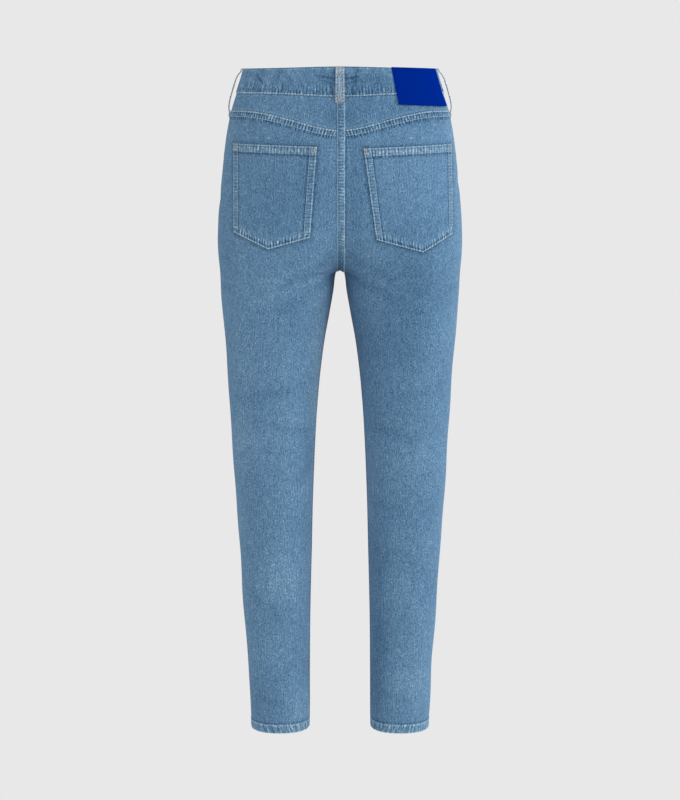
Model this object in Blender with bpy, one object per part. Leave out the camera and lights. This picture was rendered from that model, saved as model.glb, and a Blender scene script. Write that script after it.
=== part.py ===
"""High-waisted mom jeans in rigid denim, filled out as if worn, with nothing inside.

Frame, in metres: +Z up, the front faces -Y, the wearer's left is +X. The origin is the middle
of the waist, halfway down the waistband, where a waist holds the garment up.
Every panel is a wall of cloth laid on one garment form, which is worked out from a table of
girths. A place on the form is a height and a turn: -1 is the centre front, 0 the side seam
and +1 the centre back, or, below the crotch, -1 and +1 are both the inseam.
"""

import math

import bpy
import numpy as np

for leftover in list(bpy.data.objects):
    bpy.data.objects.remove(leftover)

# Driving sizes.
DENIM = 0.0010
SEAM_GAP = 0.0003
CROTCH = -0.279
HEM = -0.979
HEM_DEPTH = 0.014
HEM_LAYERS = 0.0026

# The garment form, one row for each height. "out" is the outer side, "inner" the inner side of
# one leg (above the crotch it lies past the centre plane, where the two legs run together),
# "front", "back" and "side" are how far back the front, the back and the side seam stand, and
# "power" is how square the oval is: 2 is an ellipse.
FORM_COLUMNS = ("height", "out", "inner", "front", "back", "side", "power")
FORM_ROWS = (
    (0.040, 0.1370, -0.1370, -0.0925, 0.0905, -0.001, 2.40),
    (0.021, 0.1420, -0.1420, -0.0945, 0.0930, -0.001, 2.45),
    (0.000, 0.1480, -0.1480, -0.0975, 0.0960, -0.001, 2.50),
    (-0.018, 0.1537, -0.1537, -0.1005, 0.0990, 0.000, 2.50),
    (-0.045, 0.1620, -0.1620, -0.1045, 0.1035, 0.001, 2.50),
    (-0.087, 0.1700, -0.1620, -0.1090, 0.1110, 0.002, 2.50),
    (-0.147, 0.1765, -0.1400, -0.1120, 0.1200, 0.003, 2.50),
    (-0.206, 0.1817, -0.0800, -0.1110, 0.1240, 0.003, 2.50),
    (-0.236, 0.1827, -0.0430, -0.1090, 0.1225, 0.003, 2.50),
    (-0.259, 0.1818, -0.0185, -0.1065, 0.1190, 0.002, 2.48),
    (-0.272, 0.1806, -0.0055, -0.1045, 0.1160, 0.002, 2.46),
    (-0.279, 0.1799, 0.0000, -0.1035, 0.1142, 0.002, 2.45),
    (-0.2815, 0.1797, 0.0052, -0.1030, 0.1136, 0.002, 2.45),
    (-0.286, 0.1794, 0.0074, -0.1022, 0.1124, 0.002, 2.44),
    (-0.310, 0.1783, 0.0105, -0.0985, 0.1070, 0.002, 2.42),
    (-0.346, 0.1757, 0.0168, -0.0940, 0.1000, 0.002, 2.40),
    (-0.391, 0.1727, 0.0248, -0.0890, 0.0925, 0.001, 2.37),
    (-0.455, 0.1680, 0.0324, -0.0825, 0.0850, 0.001, 2.34),
    (-0.516, 0.1643, 0.0370, -0.0760, 0.0800, 0.002, 2.32),
    (-0.577, 0.1610, 0.0398, -0.0700, 0.0765, 0.004, 2.30),
    (-0.638, 0.1566, 0.0420, -0.0640, 0.0742, 0.006, 2.30),
    (-0.700, 0.1526, 0.0434, -0.0580, 0.0725, 0.009, 2.30),
    (-0.762, 0.1486, 0.0450, -0.0520, 0.0712, 0.011, 2.30),
    (-0.824, 0.1443, 0.0462, -0.0465, 0.0697, 0.012, 2.30),
    (-0.886, 0.1398, 0.0466, -0.0420, 0.0680, 0.013, 2.30),
    (-0.949, 0.1370, 0.0468, -0.0388, 0.0664, 0.014, 2.30),
    (-0.979, 0.1355, 0.0474, -0.0375, 0.0655, 0.014, 2.30),
)
FORM = dict(zip(FORM_COLUMNS, np.array(FORM_ROWS).T[:, ::-1]))

# Between these heights the spacing of turns widens evenly from a quarter to half an oval.
EVEN_TOP = -0.10
EVEN_FOOT = -0.40

# Sewn edges that go round the body: their heights at the centre front, side and centre back,
# and the turn at which they start to leave the side's height.
EDGE_COLUMNS = ("front", "side", "back", "start")
EDGES = {
    "waist": (0.0030, 0.0183, 0.0210, 0.20),
    "band_seam": (-0.0370, -0.0180, -0.0225, 0.30),
    "yoke_seam": (-0.0435, -0.0435, -0.0706, 0.25),
}

# The waistband is two layers, 1.2 mm proud of the panels. Its left end laps over its right.
BAND_OUTER = 0.0012
BAND_INNER = -0.0010
LAP_OVER = 0.014
LAP_UNDER = 0.010
LAP_LIFT = 0.00125
LAP_FADE = 0.040

# The panel grids, one row for each line of corners below a panel's top edge: its height at the
# side seam and at the centre seam, which is the crotch curve or, lower down, the inseam. The
# first row is for the fronts alone, level with the yoke seam.
PANEL_TURNS = 10
GRID_COLUMNS = ("side", "centre")
GRID_ROWS = (
    (-0.0435, -0.0680),
    (-0.0700, -0.1000),
    (-0.0970, -0.1320),
    (-0.1240, -0.1620),
    (-0.1510, -0.1900),
    (-0.1780, -0.2150),
    (-0.2030, -0.2370),
    (-0.2260, -0.2545),
    (-0.2470, -0.2670),
    (-0.2660, -0.2755),
    (-0.2840, -0.2790),
    (-0.3010, -0.2815),
    (-0.3190, -0.2870),
    (-0.3400, -0.3020),
    (-0.3680, -0.3330),
    (-0.4050, -0.3800),
    (-0.4500, -0.4370),
    (-0.5000, -0.4950),
    (-0.5550, -0.5550),
    (-0.6150, -0.6150),
    (-0.6750, -0.6750),
    (-0.7350, -0.7350),
    (-0.7950, -0.7950),
    (-0.8550, -0.8550),
    (-0.9150, -0.9150),
)
HEM_STEP = 0.001

# Back pockets: their corners in the back view, as the distance from the centre back and the
# height. The wearer's right pocket sits a little further out.
POCKET_COLUMNS = ("inner_top", "outer_top", "outer_foot", "tip", "inner_foot")
POCKETS = {
    "left": (
        (0.0333, -0.0945),
        (0.1550, -0.0905),
        (0.1545, -0.2185),
        (0.1040, -0.2420),
        (0.0436, -0.2245),
    ),
    "right": (
        (0.0340, -0.0970),
        (0.1630, -0.0915),
        (0.1640, -0.2215),
        (0.1205, -0.2465),
        (0.0531, -0.2280),
    ),
}
POCKET_STRETCH = (slice(0, 9), slice(0, 10))

# Cutters are blocks that reach from under the cloth to over it, on grids of so many cells.
CUT_UNDER = -0.005
CUT_OVER = 0.006
CUTTER_COLUMNS = 8
CUTTER_ROWS = 6

# Hip pocket mouths, cut from the top outer corners of the fronts as quarter ellipses.
MOUTH_TURN = 0.52
MOUTH_DROP = 0.085
MOUTH_LAP = 1.22
MOUTH_PAST_EDGE = 0.012
MOUTH_PAST_SIDE = 0.03
BEARER_STRETCH = (slice(0, 6), slice(3, 11))

# Belt loops: width, thickness and slack, and where each stands. A loop's course is how far
# down it is from the waist edge to its foot, and how much of its slack it has there.
LOOP_WIDTH = 0.0120
LOOP_THICK = 0.0016
LOOP_COLUMNS = ("side", "turn", "foot", "slack")
LOOPS = {
    "loop_back": (1, 1.0, -0.0310, 0.0060),
    "loop_side_left": (1, 0.0, -0.0525, 0.0052),
    "loop_side_right": (-1, 0.0, -0.0525, 0.0056),
    "loop_front_left": (1, -0.62, -0.0440, 0.0060),
    "loop_front_right": (-1, -0.62, -0.0440, 0.0060),
}
COURSE_COLUMNS = ("down", "slack")
COURSE = (
    (0.00, 0.00),
    (0.06, 0.12),
    (0.14, 0.70),
    (0.22, 1.00),
    (0.45, 1.00),
    (0.65, 0.92),
    (0.83, 0.60),
)
FOOT_SEWN = 0.006
FOOT_RAISED = 0.0008

# The bare woven patch on the wearer's right of the waistband, over the yoke's top.
PATCH_TOP = ((0.0748, 0.0200), (0.1422, 0.0185))
PATCH_FOOT = ((0.0859, -0.0330), (0.1588, -0.0365))
PATCH_THICK = 0.0008
PATCH_REACH = -0.045
PATCH_TURNS = (1.2, 2.2)

# The waistband's shank button, as the radius and height of each ring from crown to foot.
BUTTON_PROFILE = (
    (0.0000, 0.0034),
    (0.0050, 0.0033),
    (0.0062, 0.0038),
    (0.0078, 0.0036),
    (0.0085, 0.0028),
    (0.0082, 0.0018),
    (0.0060, 0.0015),
    (0.0034, 0.0014),
    (0.0030, 0.0000),
    (0.0000, 0.0000),
)
BUTTON_STEPS = 20


def colour_of(name, hex_colour, roughness, metallic=0.0):
    """A plain material in the part's colour."""
    material = bpy.data.materials.new(name)
    material.use_nodes = True
    shader = material.node_tree.nodes["Principled BSDF"]
    parts = [int(hex_colour[i : i + 2], 16) / 255 for i in (0, 2, 4)]
    linear = [((p + 0.055) / 1.055) ** 2.4 if p > 0.04045 else p / 12.92 for p in parts]
    shader.inputs["Base Color"].default_value = (*linear, 1.0)
    shader.inputs["Roughness"].default_value = roughness
    shader.inputs["Metallic"].default_value = metallic
    return material


def read(column, height):
    """A column of the form at any height, on a monotone cubic through the rows."""
    rows, values = FORM["height"], FORM[column]
    step = np.diff(rows)
    slope = np.diff(values) / step
    tangent = np.zeros_like(values)
    same = slope[:-1] * slope[1:] > 0
    near = 2 * step[1:] + step[:-1]
    far = step[1:] + 2 * step[:-1]
    with np.errstate(divide="ignore", invalid="ignore"):
        mean = (near + far) / (near / slope[:-1] + far / slope[1:])
    tangent[1:-1] = np.where(same, mean, 0.0)
    tangent[0], tangent[-1] = slope[0], slope[-1]
    height = np.clip(np.asarray(height, float), rows[0], rows[-1])
    i = np.clip(np.searchsorted(rows, height) - 1, 0, len(step) - 1)
    t = (height - rows[i]) / step[i]
    return (
        values[i] * (1 + 2 * t) * (1 - t) ** 2
        + tangent[i] * step[i] * t * (1 - t) ** 2
        + values[i + 1] * t * t * (3 - 2 * t)
        + tangent[i + 1] * step[i] * t * t * (t - 1)
    )


def oval(height, facing):
    """One leg's oval at a height: its middle, half width, depth and power."""
    out, inner = read("out", height), read("inner", height)
    side = read("side", height)
    depth = np.where(facing < 0, side - read("front", height), read("back", height) - side)
    return (out + inner) / 2, (out - inner) / 2, depth, read("power", height)


def angle_terms(height, facing):
    """The angle round the oval is first * turn + third * turn**3, and at 1 it meets the centre."""
    middle, half, depth, power = oval(height, facing)
    cut_off = depth * (1 - np.clip(middle / half, 0, 1) ** power) ** (1 / power)
    share = np.clip((EVEN_TOP - height) / (EVEN_TOP - EVEN_FOOT), 0, 1)
    even = math.pi / 2 * (1 + share * share * (3 - 2 * share))
    return even, np.arctan2(cut_off, -middle) - even


def surface(height, turn):
    """The outer face of the cloth on the wearer's left: an oval that the centre plane cuts off."""
    height, turn = np.broadcast_arrays(np.asarray(height, float), np.asarray(turn, float))
    middle, half, depth, power = oval(height, turn)
    first, third = angle_terms(height, turn)
    angle = first * turn + third * turn**3
    across, facing = np.cos(angle), np.sin(angle)
    radius = (np.abs(across / half) ** power + np.abs(facing / depth) ** power) ** (-1 / power)
    return np.stack([middle + radius * across, read("side", height) + radius * facing, height], -1)


def outward(height, turn):
    """The cloth's outward direction. Just at the crotch it is read a little above it."""
    height = np.asarray(height, float)
    nudge = 0.0002
    height = np.where(np.abs(height - CROTCH) < 0.001, CROTCH + 0.001, height)
    along = surface(height, turn + nudge) - surface(height, turn - nudge)
    up = surface(height + nudge, turn) - surface(height - nudge, turn)
    normal = np.cross(along, up)
    return normal / np.linalg.norm(normal, axis=-1, keepdims=True)


def edge(name, turn):
    """The height of a sewn edge at a turn round the body."""
    front, side, back, start = EDGES[name]
    turn = np.asarray(turn, float)
    share = np.clip((1 - np.abs(np.abs(turn) - 1) - start) / (1 - start), 0, 1)
    share = share * share * (3 - 2 * share)
    return side + (np.where(turn > 0, back, front) - side) * share


def turn_at(x, height):
    """The turn on the back of the form that stands at a distance x from the centre plane."""
    middle, half, depth, power = oval(height, 1)
    share = np.clip(np.abs((x - middle) / half), 0, 1)
    angle = np.arctan2(depth * (1 - share**power) ** (1 / power), x - middle)
    first, third = angle_terms(height, 1)
    turn = angle / (first + third)
    for _ in range(8):
        turn -= (first * turn + third * turn**3 - angle) / (first + 3 * third * turn**2)
    return turn


def new_object(name, vertices, faces, material):
    mesh = bpy.data.meshes.new(name)
    mesh.from_pydata([tuple(v) for v in vertices], [], faces)
    mesh.validate()
    obj = bpy.data.objects.new(name, mesh)
    bpy.context.scene.collection.objects.link(obj)
    if material:
        mesh.materials.append(material)
        mesh.shade_smooth()
        mesh.set_sharp_from_angle(angle=math.radians(40))
    return obj


def wall(name, points, normals, inner, outer, material, side=1):
    """A closed wall between two offsets of a grid of points. side -1 mirrors it to the right.

    Each four corners split along their shorter diagonal, alike in every layer on one grid.
    """
    rows, turns = points.shape[:2]
    inner = np.broadcast_to(np.asarray(inner, float).reshape(-1, 1, 1), (rows, 1, 1))
    outer = np.broadcast_to(np.asarray(outer, float).reshape(-1, 1, 1), (rows, 1, 1))
    skins = np.concatenate([points + normals * outer, points + normals * inner])
    skins = skins.reshape(-1, 3) * (side, 1, 1)
    top, under = np.arange(2 * rows * turns).reshape(2, rows, turns)
    falling = np.linalg.norm(points[1:, 1:] - points[:-1, :-1], axis=-1)
    rising = np.linalg.norm(points[1:, :-1] - points[:-1, 1:], axis=-1)
    triangles = []

    def quad(a, b, c, d):
        triangles.extend([(a, b, c), (a, c, d)])

    for r in range(rows - 1):
        for t in range(turns - 1):
            if falling[r, t] < rising[r, t]:
                quad(top[r, t], top[r + 1, t], top[r + 1, t + 1], top[r, t + 1])
                quad(under[r, t], under[r, t + 1], under[r + 1, t + 1], under[r + 1, t])
            else:
                quad(top[r + 1, t], top[r + 1, t + 1], top[r, t + 1], top[r, t])
                quad(under[r + 1, t], under[r, t], under[r, t + 1], under[r + 1, t + 1])
    for t in range(turns - 1):
        quad(under[0, t], top[0, t], top[0, t + 1], under[0, t + 1])
        quad(top[-1, t], under[-1, t], under[-1, t + 1], top[-1, t + 1])
    for r in range(rows - 1):
        quad(top[r, 0], under[r, 0], under[r + 1, 0], top[r + 1, 0])
        quad(under[r, -1], top[r, -1], top[r + 1, -1], under[r + 1, -1])
    faces = [tuple(int(i) for i in (f if side > 0 else f[::-1])) for f in triangles]
    return new_object(name, skins, faces, material)


def helper(obj):
    """Marks a cutter, which isn't a piece."""
    obj.hide_render = True
    obj.display_type = "WIRE"
    return obj


def cut(obj, cutter, operation):
    modifier = obj.modifiers.new(operation.lower(), "BOOLEAN")
    modifier.operation = operation
    modifier.object = helper(cutter)
    modifier.solver = "EXACT"


def trimmed(turns, heights, start_gap, end_gap):
    """The turns moved in by half a seam gap at either end, row by row."""
    turns = np.broadcast_to(turns, heights.shape).copy()
    points = surface(heights, turns)
    step = np.linalg.norm(np.diff(points, axis=1), axis=-1)
    if start_gap:
        turns[:, 0] += SEAM_GAP / 2 * (turns[:, 1] - turns[:, 0]) / step[:, 0]
    if end_gap:
        turns[:, -1] -= SEAM_GAP / 2 * (turns[:, -1] - turns[:, -2]) / step[:, -1]
    return turns


def laid(heights, turns):
    """Points and outward directions of a grid, kept half a seam gap off the centre plane."""
    turns = trimmed(turns, heights, True, True)
    points, normals = surface(heights, turns), outward(heights, turns)
    points[..., 0] = np.maximum(points[..., 0], SEAM_GAP / 2)
    return points, normals


def panel_grid(top, turns, first_row):
    """A leg panel's heights: its top edge, the rows of the grid and the hem."""
    side, centre = np.array(GRID_ROWS[first_row:]).T
    rows = side[:, None] + (centre - side)[:, None] * turns[None, :] ** 2
    hem_top = HEM + HEM_DEPTH
    hem = np.array([hem_top + HEM_STEP, hem_top, HEM])[:, None] + 0 * turns
    heights = np.concatenate([[top - SEAM_GAP / 2], rows, hem])
    inner = np.full(len(heights), -DENIM)
    inner[-2:] = -HEM_LAYERS
    return heights, inner


def pocket_cutter(name, corners, side):
    """A block through the cloth with a back pocket's five-sided outline."""
    inner_top, outer_top, outer_foot, tip, inner_foot = (np.array(c) for c in corners)
    across = np.linspace(0, 1, CUTTER_COLUMNS + 1)
    tip_at = (tip[0] - inner_foot[0]) / (outer_foot[0] - inner_foot[0])
    across[np.abs(across - tip_at).argmin()] = tip_at
    top = inner_top + (outer_top - inner_top) * across[:, None]
    before = np.clip(across / tip_at, 0, 1)[:, None]
    after = np.clip((across - tip_at) / (1 - tip_at), 0, 1)[:, None]
    foot = inner_foot + (tip - inner_foot) * before + (outer_foot - tip) * after
    down = np.linspace(0, 1, CUTTER_ROWS + 1)[:, None, None]
    flat = top[None] + (foot - top)[None] * down
    heights = flat[..., 1]
    turns = turn_at(flat[..., 0], heights)
    points, normals = surface(heights, turns), outward(heights, turns)
    return wall(name, points[:, ::-1], normals[:, ::-1], CUT_UNDER, CUT_OVER, None, side)


def mouth_cutter(name, scale, side):
    """A block through the cloth at a front's top outer corner, below a quarter ellipse."""
    down = np.sin(np.linspace(0, math.pi / 2, CUTTER_COLUMNS + 1))
    down = np.concatenate([[-MOUTH_PAST_EDGE / MOUTH_DROP], down])
    reach = MOUTH_TURN * scale * np.sqrt(1 - np.clip(down, 0, 1) ** 2)
    across = np.linspace(0, 1, CUTTER_COLUMNS + 1)
    turns = -reach[:, None] + (reach[:, None] + MOUTH_PAST_SIDE) * across[None, :]
    heights = EDGES["band_seam"][1] - MOUTH_DROP * scale * down[:, None] + 0 * turns
    points, normals = surface(heights, turns), outward(heights, turns)
    return wall(name, points, normals, CUT_UNDER, CUT_OVER, None, side)


# Cloths and metal.
denim = colour_of("denim", "6C8FB0", 0.85)
denim_band = colour_of("denim_band", "6E8FAE", 0.85)
denim_pocket = colour_of("denim_pocket", "648AAC", 0.85)
denim_loop = colour_of("denim_loop", "86A3BF", 0.85)
woven_patch = colour_of("woven_patch", "00219B", 0.6)
button_metal = colour_of("button_metal", "8C8A86", 0.35, 1.0)

# Fronts, backs and yokes, wearer's left and right.
front_turns = np.linspace(-1, 0, PANEL_TURNS + 1)
back_turns = np.linspace(0, 1, PANEL_TURNS + 1)
for name, side in (("left", 1), ("right", -1)):
    heights, inner = panel_grid(edge("band_seam", front_turns), front_turns, 0)
    points, normals = laid(heights, front_turns)
    front = wall(f"front_{name}", points, normals, inner, 0, denim, side)
    cut(front, mouth_cutter(f"mouth_cutter_{name}", 1.0, side), "DIFFERENCE")
    under = -DENIM - SEAM_GAP
    near, facing = points[BEARER_STRETCH], normals[BEARER_STRETCH]
    bearer = wall(f"hip_pocket_{name}", near, facing, under - DENIM, under, denim, side)
    cut(bearer, mouth_cutter(f"bearer_cutter_{name}", MOUTH_LAP, side), "INTERSECT")

    heights, inner = panel_grid(edge("yoke_seam", back_turns), back_turns, 1)
    points, normals = laid(heights, back_turns)
    wall(f"back_{name}", points, normals, inner, 0, denim, side)
    proud = SEAM_GAP + DENIM
    near, facing = points[POCKET_STRETCH], normals[POCKET_STRETCH]
    pocket = wall(f"back_pocket_{name}", near, facing, SEAM_GAP, proud, denim_pocket, side)
    cut(pocket, pocket_cutter(f"pocket_cutter_{name}", POCKETS[name], side), "INTERSECT")

    share = np.array([0, 0.5, 1])[:, None]
    start = edge("band_seam", back_turns) - SEAM_GAP / 2
    end = edge("yoke_seam", back_turns) + SEAM_GAP / 2
    heights = start + (end - start) * share
    points, normals = laid(heights, back_turns)
    wall(f"yoke_{name}", points, normals, -DENIM, 0, denim, side)

# Waistband: one strip all the way round, its two ends lapped at the centre front.
turn_length = math.pi / 2 * -float(read("front", 0.0))
band_turns = np.concatenate(
    [
        [-1 - LAP_OVER / turn_length],
        np.linspace(-1, 3, 4 * PANEL_TURNS + 1),
        [3 + LAP_UNDER / turn_length],
    ]
)


def band_wall(name, turns, foot, inner, outer, material):
    """A strip of the waistband's rows, with the laps at its two ends."""
    folded = 1 - np.abs(turns - 1)
    head = edge("waist", folded)
    seam = edge("band_seam", folded) + SEAM_GAP / 2
    rows = [head, (head + seam) / 2, seam]
    if foot is not None:
        rows.append(np.full_like(head, foot))
    heights = np.array(rows)
    mirror = np.where(turns > 1, -1.0, 1.0)
    points, normals = surface(heights, folded), outward(heights, folded)
    points[..., 0] *= mirror
    normals[..., 0] *= mirror
    from_start = (turns - band_turns[0]) * turn_length
    from_end = (band_turns[-1] - turns) * turn_length
    lift = np.clip(1 - from_start / LAP_FADE, 0, 1) - np.clip(1 - from_end / LAP_FADE, 0, 1)
    ends = np.sqrt(np.clip(np.abs(lift), 0, 1)) * np.sign(lift)
    points = points + normals * (LAP_LIFT * ends)[..., None]
    return wall(name, points, normals, inner, outer, material)


band_wall("waistband", band_turns, None, BAND_INNER, BAND_OUTER, denim_band)

# Woven patch: the waistband's own points moved out, cut to its outline.
patch_turns = band_turns[(band_turns > PATCH_TURNS[0]) & (band_turns < PATCH_TURNS[1])]
near = BAND_OUTER + SEAM_GAP
patch = band_wall("patch", patch_turns, PATCH_REACH, near, near + PATCH_THICK, woven_patch)
patch_top, patch_foot = np.array(PATCH_TOP), np.array(PATCH_FOOT)
across = np.sin(np.linspace(0, math.pi / 2, CUTTER_COLUMNS + 1))[None, :, None]
down = np.linspace(0, 1, CUTTER_ROWS + 1)[:, None, None]
top = patch_top[0] + (patch_top[1] - patch_top[0]) * across
foot = patch_foot[0] + (patch_foot[1] - patch_foot[0]) * across
flat = top + (foot - top) * down
heights, turns = flat[..., 1], turn_at(flat[..., 0], flat[..., 1])
points, normals = surface(heights, turns)[:, ::-1], outward(heights, turns)[:, ::-1]
patch_cutter = wall("patch_cutter", points, normals, CUT_UNDER, CUT_OVER, None, -1)
cut(patch, patch_cutter, "INTERSECT")

# Belt loops: flat straps that stand off the waistband between their two sewn ends.
for name, (side, turn, foot, slack) in LOOPS.items():
    head = float(edge("waist", turn))
    proud = BAND_OUTER + SEAM_GAP
    stations = [(head + (foot - head) * down, proud + slack * share) for down, share in COURSE]
    stations.append((foot + FOOT_SEWN, SEAM_GAP + FOOT_RAISED))
    stations.append((foot, SEAM_GAP))
    heights = np.array([s[0] for s in stations])
    stand = np.array([s[1] for s in stations])[:, None]
    middle = surface(heights, turn)
    normal = outward(heights, turn)
    along = np.cross(normal, (0.0, 0.0, 1.0))
    along /= -np.linalg.norm(along, axis=-1, keepdims=True)
    middle = middle + normal * stand
    half = np.array([-0.5, 0.0, 0.5])[None, :, None] * LOOP_WIDTH
    points = middle[:, None] + along[:, None] * half
    normals = np.broadcast_to(normal[:, None], points.shape)
    wall(name, points, normals, 0, LOOP_THICK, denim_loop, side)

# Shank button on the lapped end, turned about its own axis and set square to the cloth.
button_height = float(edge("waist", -1) + edge("band_seam", -1)) / 2
foot = surface(button_height, -1.0)
axis = outward(button_height, -1.0)
lift = math.sqrt(1 - LAP_OVER / LAP_FADE) * LAP_LIFT
foot = foot + axis * (BAND_OUTER + lift + SEAM_GAP)
rings = [p for p in BUTTON_PROFILE if p[0] > 0]
cross = np.cross(axis, (0.0, 0.0, 1.0))
cross /= np.linalg.norm(cross)
upright = np.cross(cross, axis)
spin = np.arange(BUTTON_STEPS) * 2 * math.pi / BUTTON_STEPS
round_it = np.cos(spin)[:, None] * cross + np.sin(spin)[:, None] * upright
vertices = [foot + axis * h + round_it * r for r, h in rings]
vertices = np.concatenate([*vertices, [foot + axis * BUTTON_PROFILE[0][1]], [foot]])
crown, heel = len(vertices) - 2, len(vertices) - 1
faces = []
for s in range(BUTTON_STEPS):
    n = (s + 1) % BUTTON_STEPS
    faces.append((crown, n, s))
    for r in range(len(rings) - 1):
        a, b = r * BUTTON_STEPS, (r + 1) * BUTTON_STEPS
        faces.append((a + s, a + n, b + n, b + s))
    last = (len(rings) - 1) * BUTTON_STEPS
    faces.append((heel, last + s, last + n))
new_object("button", vertices, faces, button_metal)
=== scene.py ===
"""High-waisted mom jeans in washed denim, filled out as if worn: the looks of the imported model.

Metres, +Z up, the front faces -Y, the wearer's left is +X, the origin is the middle of the waist.
"""

import math

import bpy
import numpy as np
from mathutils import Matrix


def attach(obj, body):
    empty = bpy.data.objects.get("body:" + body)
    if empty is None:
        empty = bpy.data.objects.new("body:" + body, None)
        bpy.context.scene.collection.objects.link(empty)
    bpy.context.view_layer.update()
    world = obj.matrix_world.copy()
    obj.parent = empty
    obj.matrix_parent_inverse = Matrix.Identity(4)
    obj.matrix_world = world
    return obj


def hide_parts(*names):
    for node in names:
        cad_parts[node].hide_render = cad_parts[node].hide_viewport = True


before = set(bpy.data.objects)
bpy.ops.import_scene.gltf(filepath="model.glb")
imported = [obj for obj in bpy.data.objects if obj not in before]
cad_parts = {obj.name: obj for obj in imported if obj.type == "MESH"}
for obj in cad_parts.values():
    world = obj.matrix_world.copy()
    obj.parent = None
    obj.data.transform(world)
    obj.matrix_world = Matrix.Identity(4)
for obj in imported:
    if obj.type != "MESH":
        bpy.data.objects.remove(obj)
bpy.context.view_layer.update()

# Camera: a long lens 3.6 m behind the garment, at the height of its waist and tipped down.
lens = bpy.data.cameras.new("camera")
lens.lens = 108
lens.sensor_width = 36
camera = bpy.data.objects.new("camera", lens)
camera.location = (0, 3.60, 0)
camera.rotation_euler = (math.radians(90 - 7.568), 0, math.radians(180))
bpy.context.scene.collection.objects.link(camera)
bpy.context.scene.camera = camera


# Studio: a pale room that lights the cloth evenly, with three large soft lights on the
# wearer's right, beside, behind and before the garment, and a pale floor just under the hems.
def colour(srgb):
    """An sRGB hex colour as linear red, green, blue and alpha."""
    parts = [int(srgb[i : i + 2], 16) / 255 for i in (0, 2, 4)]
    return (*[((p + 0.055) / 1.055) ** 2.4 if p > 0.04045 else p / 12.92 for p in parts], 1.0)


def add(tree, kind, inputs=None, **settings):
    """Adds a node. inputs maps a socket's name or number to a value or to another's output."""
    new = tree.nodes.new(kind)
    for name, value in settings.items():
        setattr(new, name, value)
    for name, value in (inputs or {}).items():
        if isinstance(value, bpy.types.NodeSocket):
            tree.links.new(value, new.inputs[name])
        else:
            new.inputs[name].default_value = value
    return new


PALE_ROOM = "E8E8E8"
room = bpy.data.worlds.new("studio")
room.use_nodes = True
room.node_tree.nodes["Background"].inputs["Color"].default_value = colour(PALE_ROOM)
room.node_tree.nodes["Background"].inputs["Strength"].default_value = 1.0
bpy.context.scene.world = room
bpy.context.scene.view_settings.view_transform = "Standard"

for name, place, watts, size in (
    ("soft_light_beside", (-3.66, 0.50, 0.9), 36.0, 1.6),
    ("soft_light_behind", (-2.70, 2.50, 0.9), 42.0, 1.6),
    ("soft_light_before", (-2.2, -3.2, 1.4), 46.0, 2.0),
):
    lamp = bpy.data.lights.new(name, "AREA")
    lamp.energy = watts
    lamp.size = size
    light = bpy.data.objects.new(name, lamp)
    light.location = place
    aim = np.array([0.0, 0.0, -0.45]) - np.array(place)
    light.rotation_euler = (
        math.acos(-aim[2] / np.linalg.norm(aim)),
        0,
        math.atan2(aim[1], aim[0]) - math.pi / 2,
    )
    bpy.context.scene.collection.objects.link(light)

FLOOR_HEIGHT = -0.985
FLOOR_REACH = 40.0
floor_mesh = bpy.data.meshes.new("floor")
corners = [(x * FLOOR_REACH, y * FLOOR_REACH, FLOOR_HEIGHT) for x, y in ((-1, -1), (1, -1), (1, 1), (-1, 1))]
floor_mesh.from_pydata(corners, [], [(0, 1, 2, 3)])
floor = bpy.data.objects.new("floor", floor_mesh)
bpy.context.scene.collection.objects.link(floor)
pale_floor = bpy.data.materials.new("pale_floor")
pale_floor.use_nodes = True
pale_floor.node_tree.nodes.clear()
glow = add(pale_floor.node_tree, "ShaderNodeEmission", {"Color": colour(PALE_ROOM)})
add(pale_floor.node_tree, "ShaderNodeOutputMaterial", {"Surface": glow.outputs[0]})
floor_mesh.materials.append(pale_floor)


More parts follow.
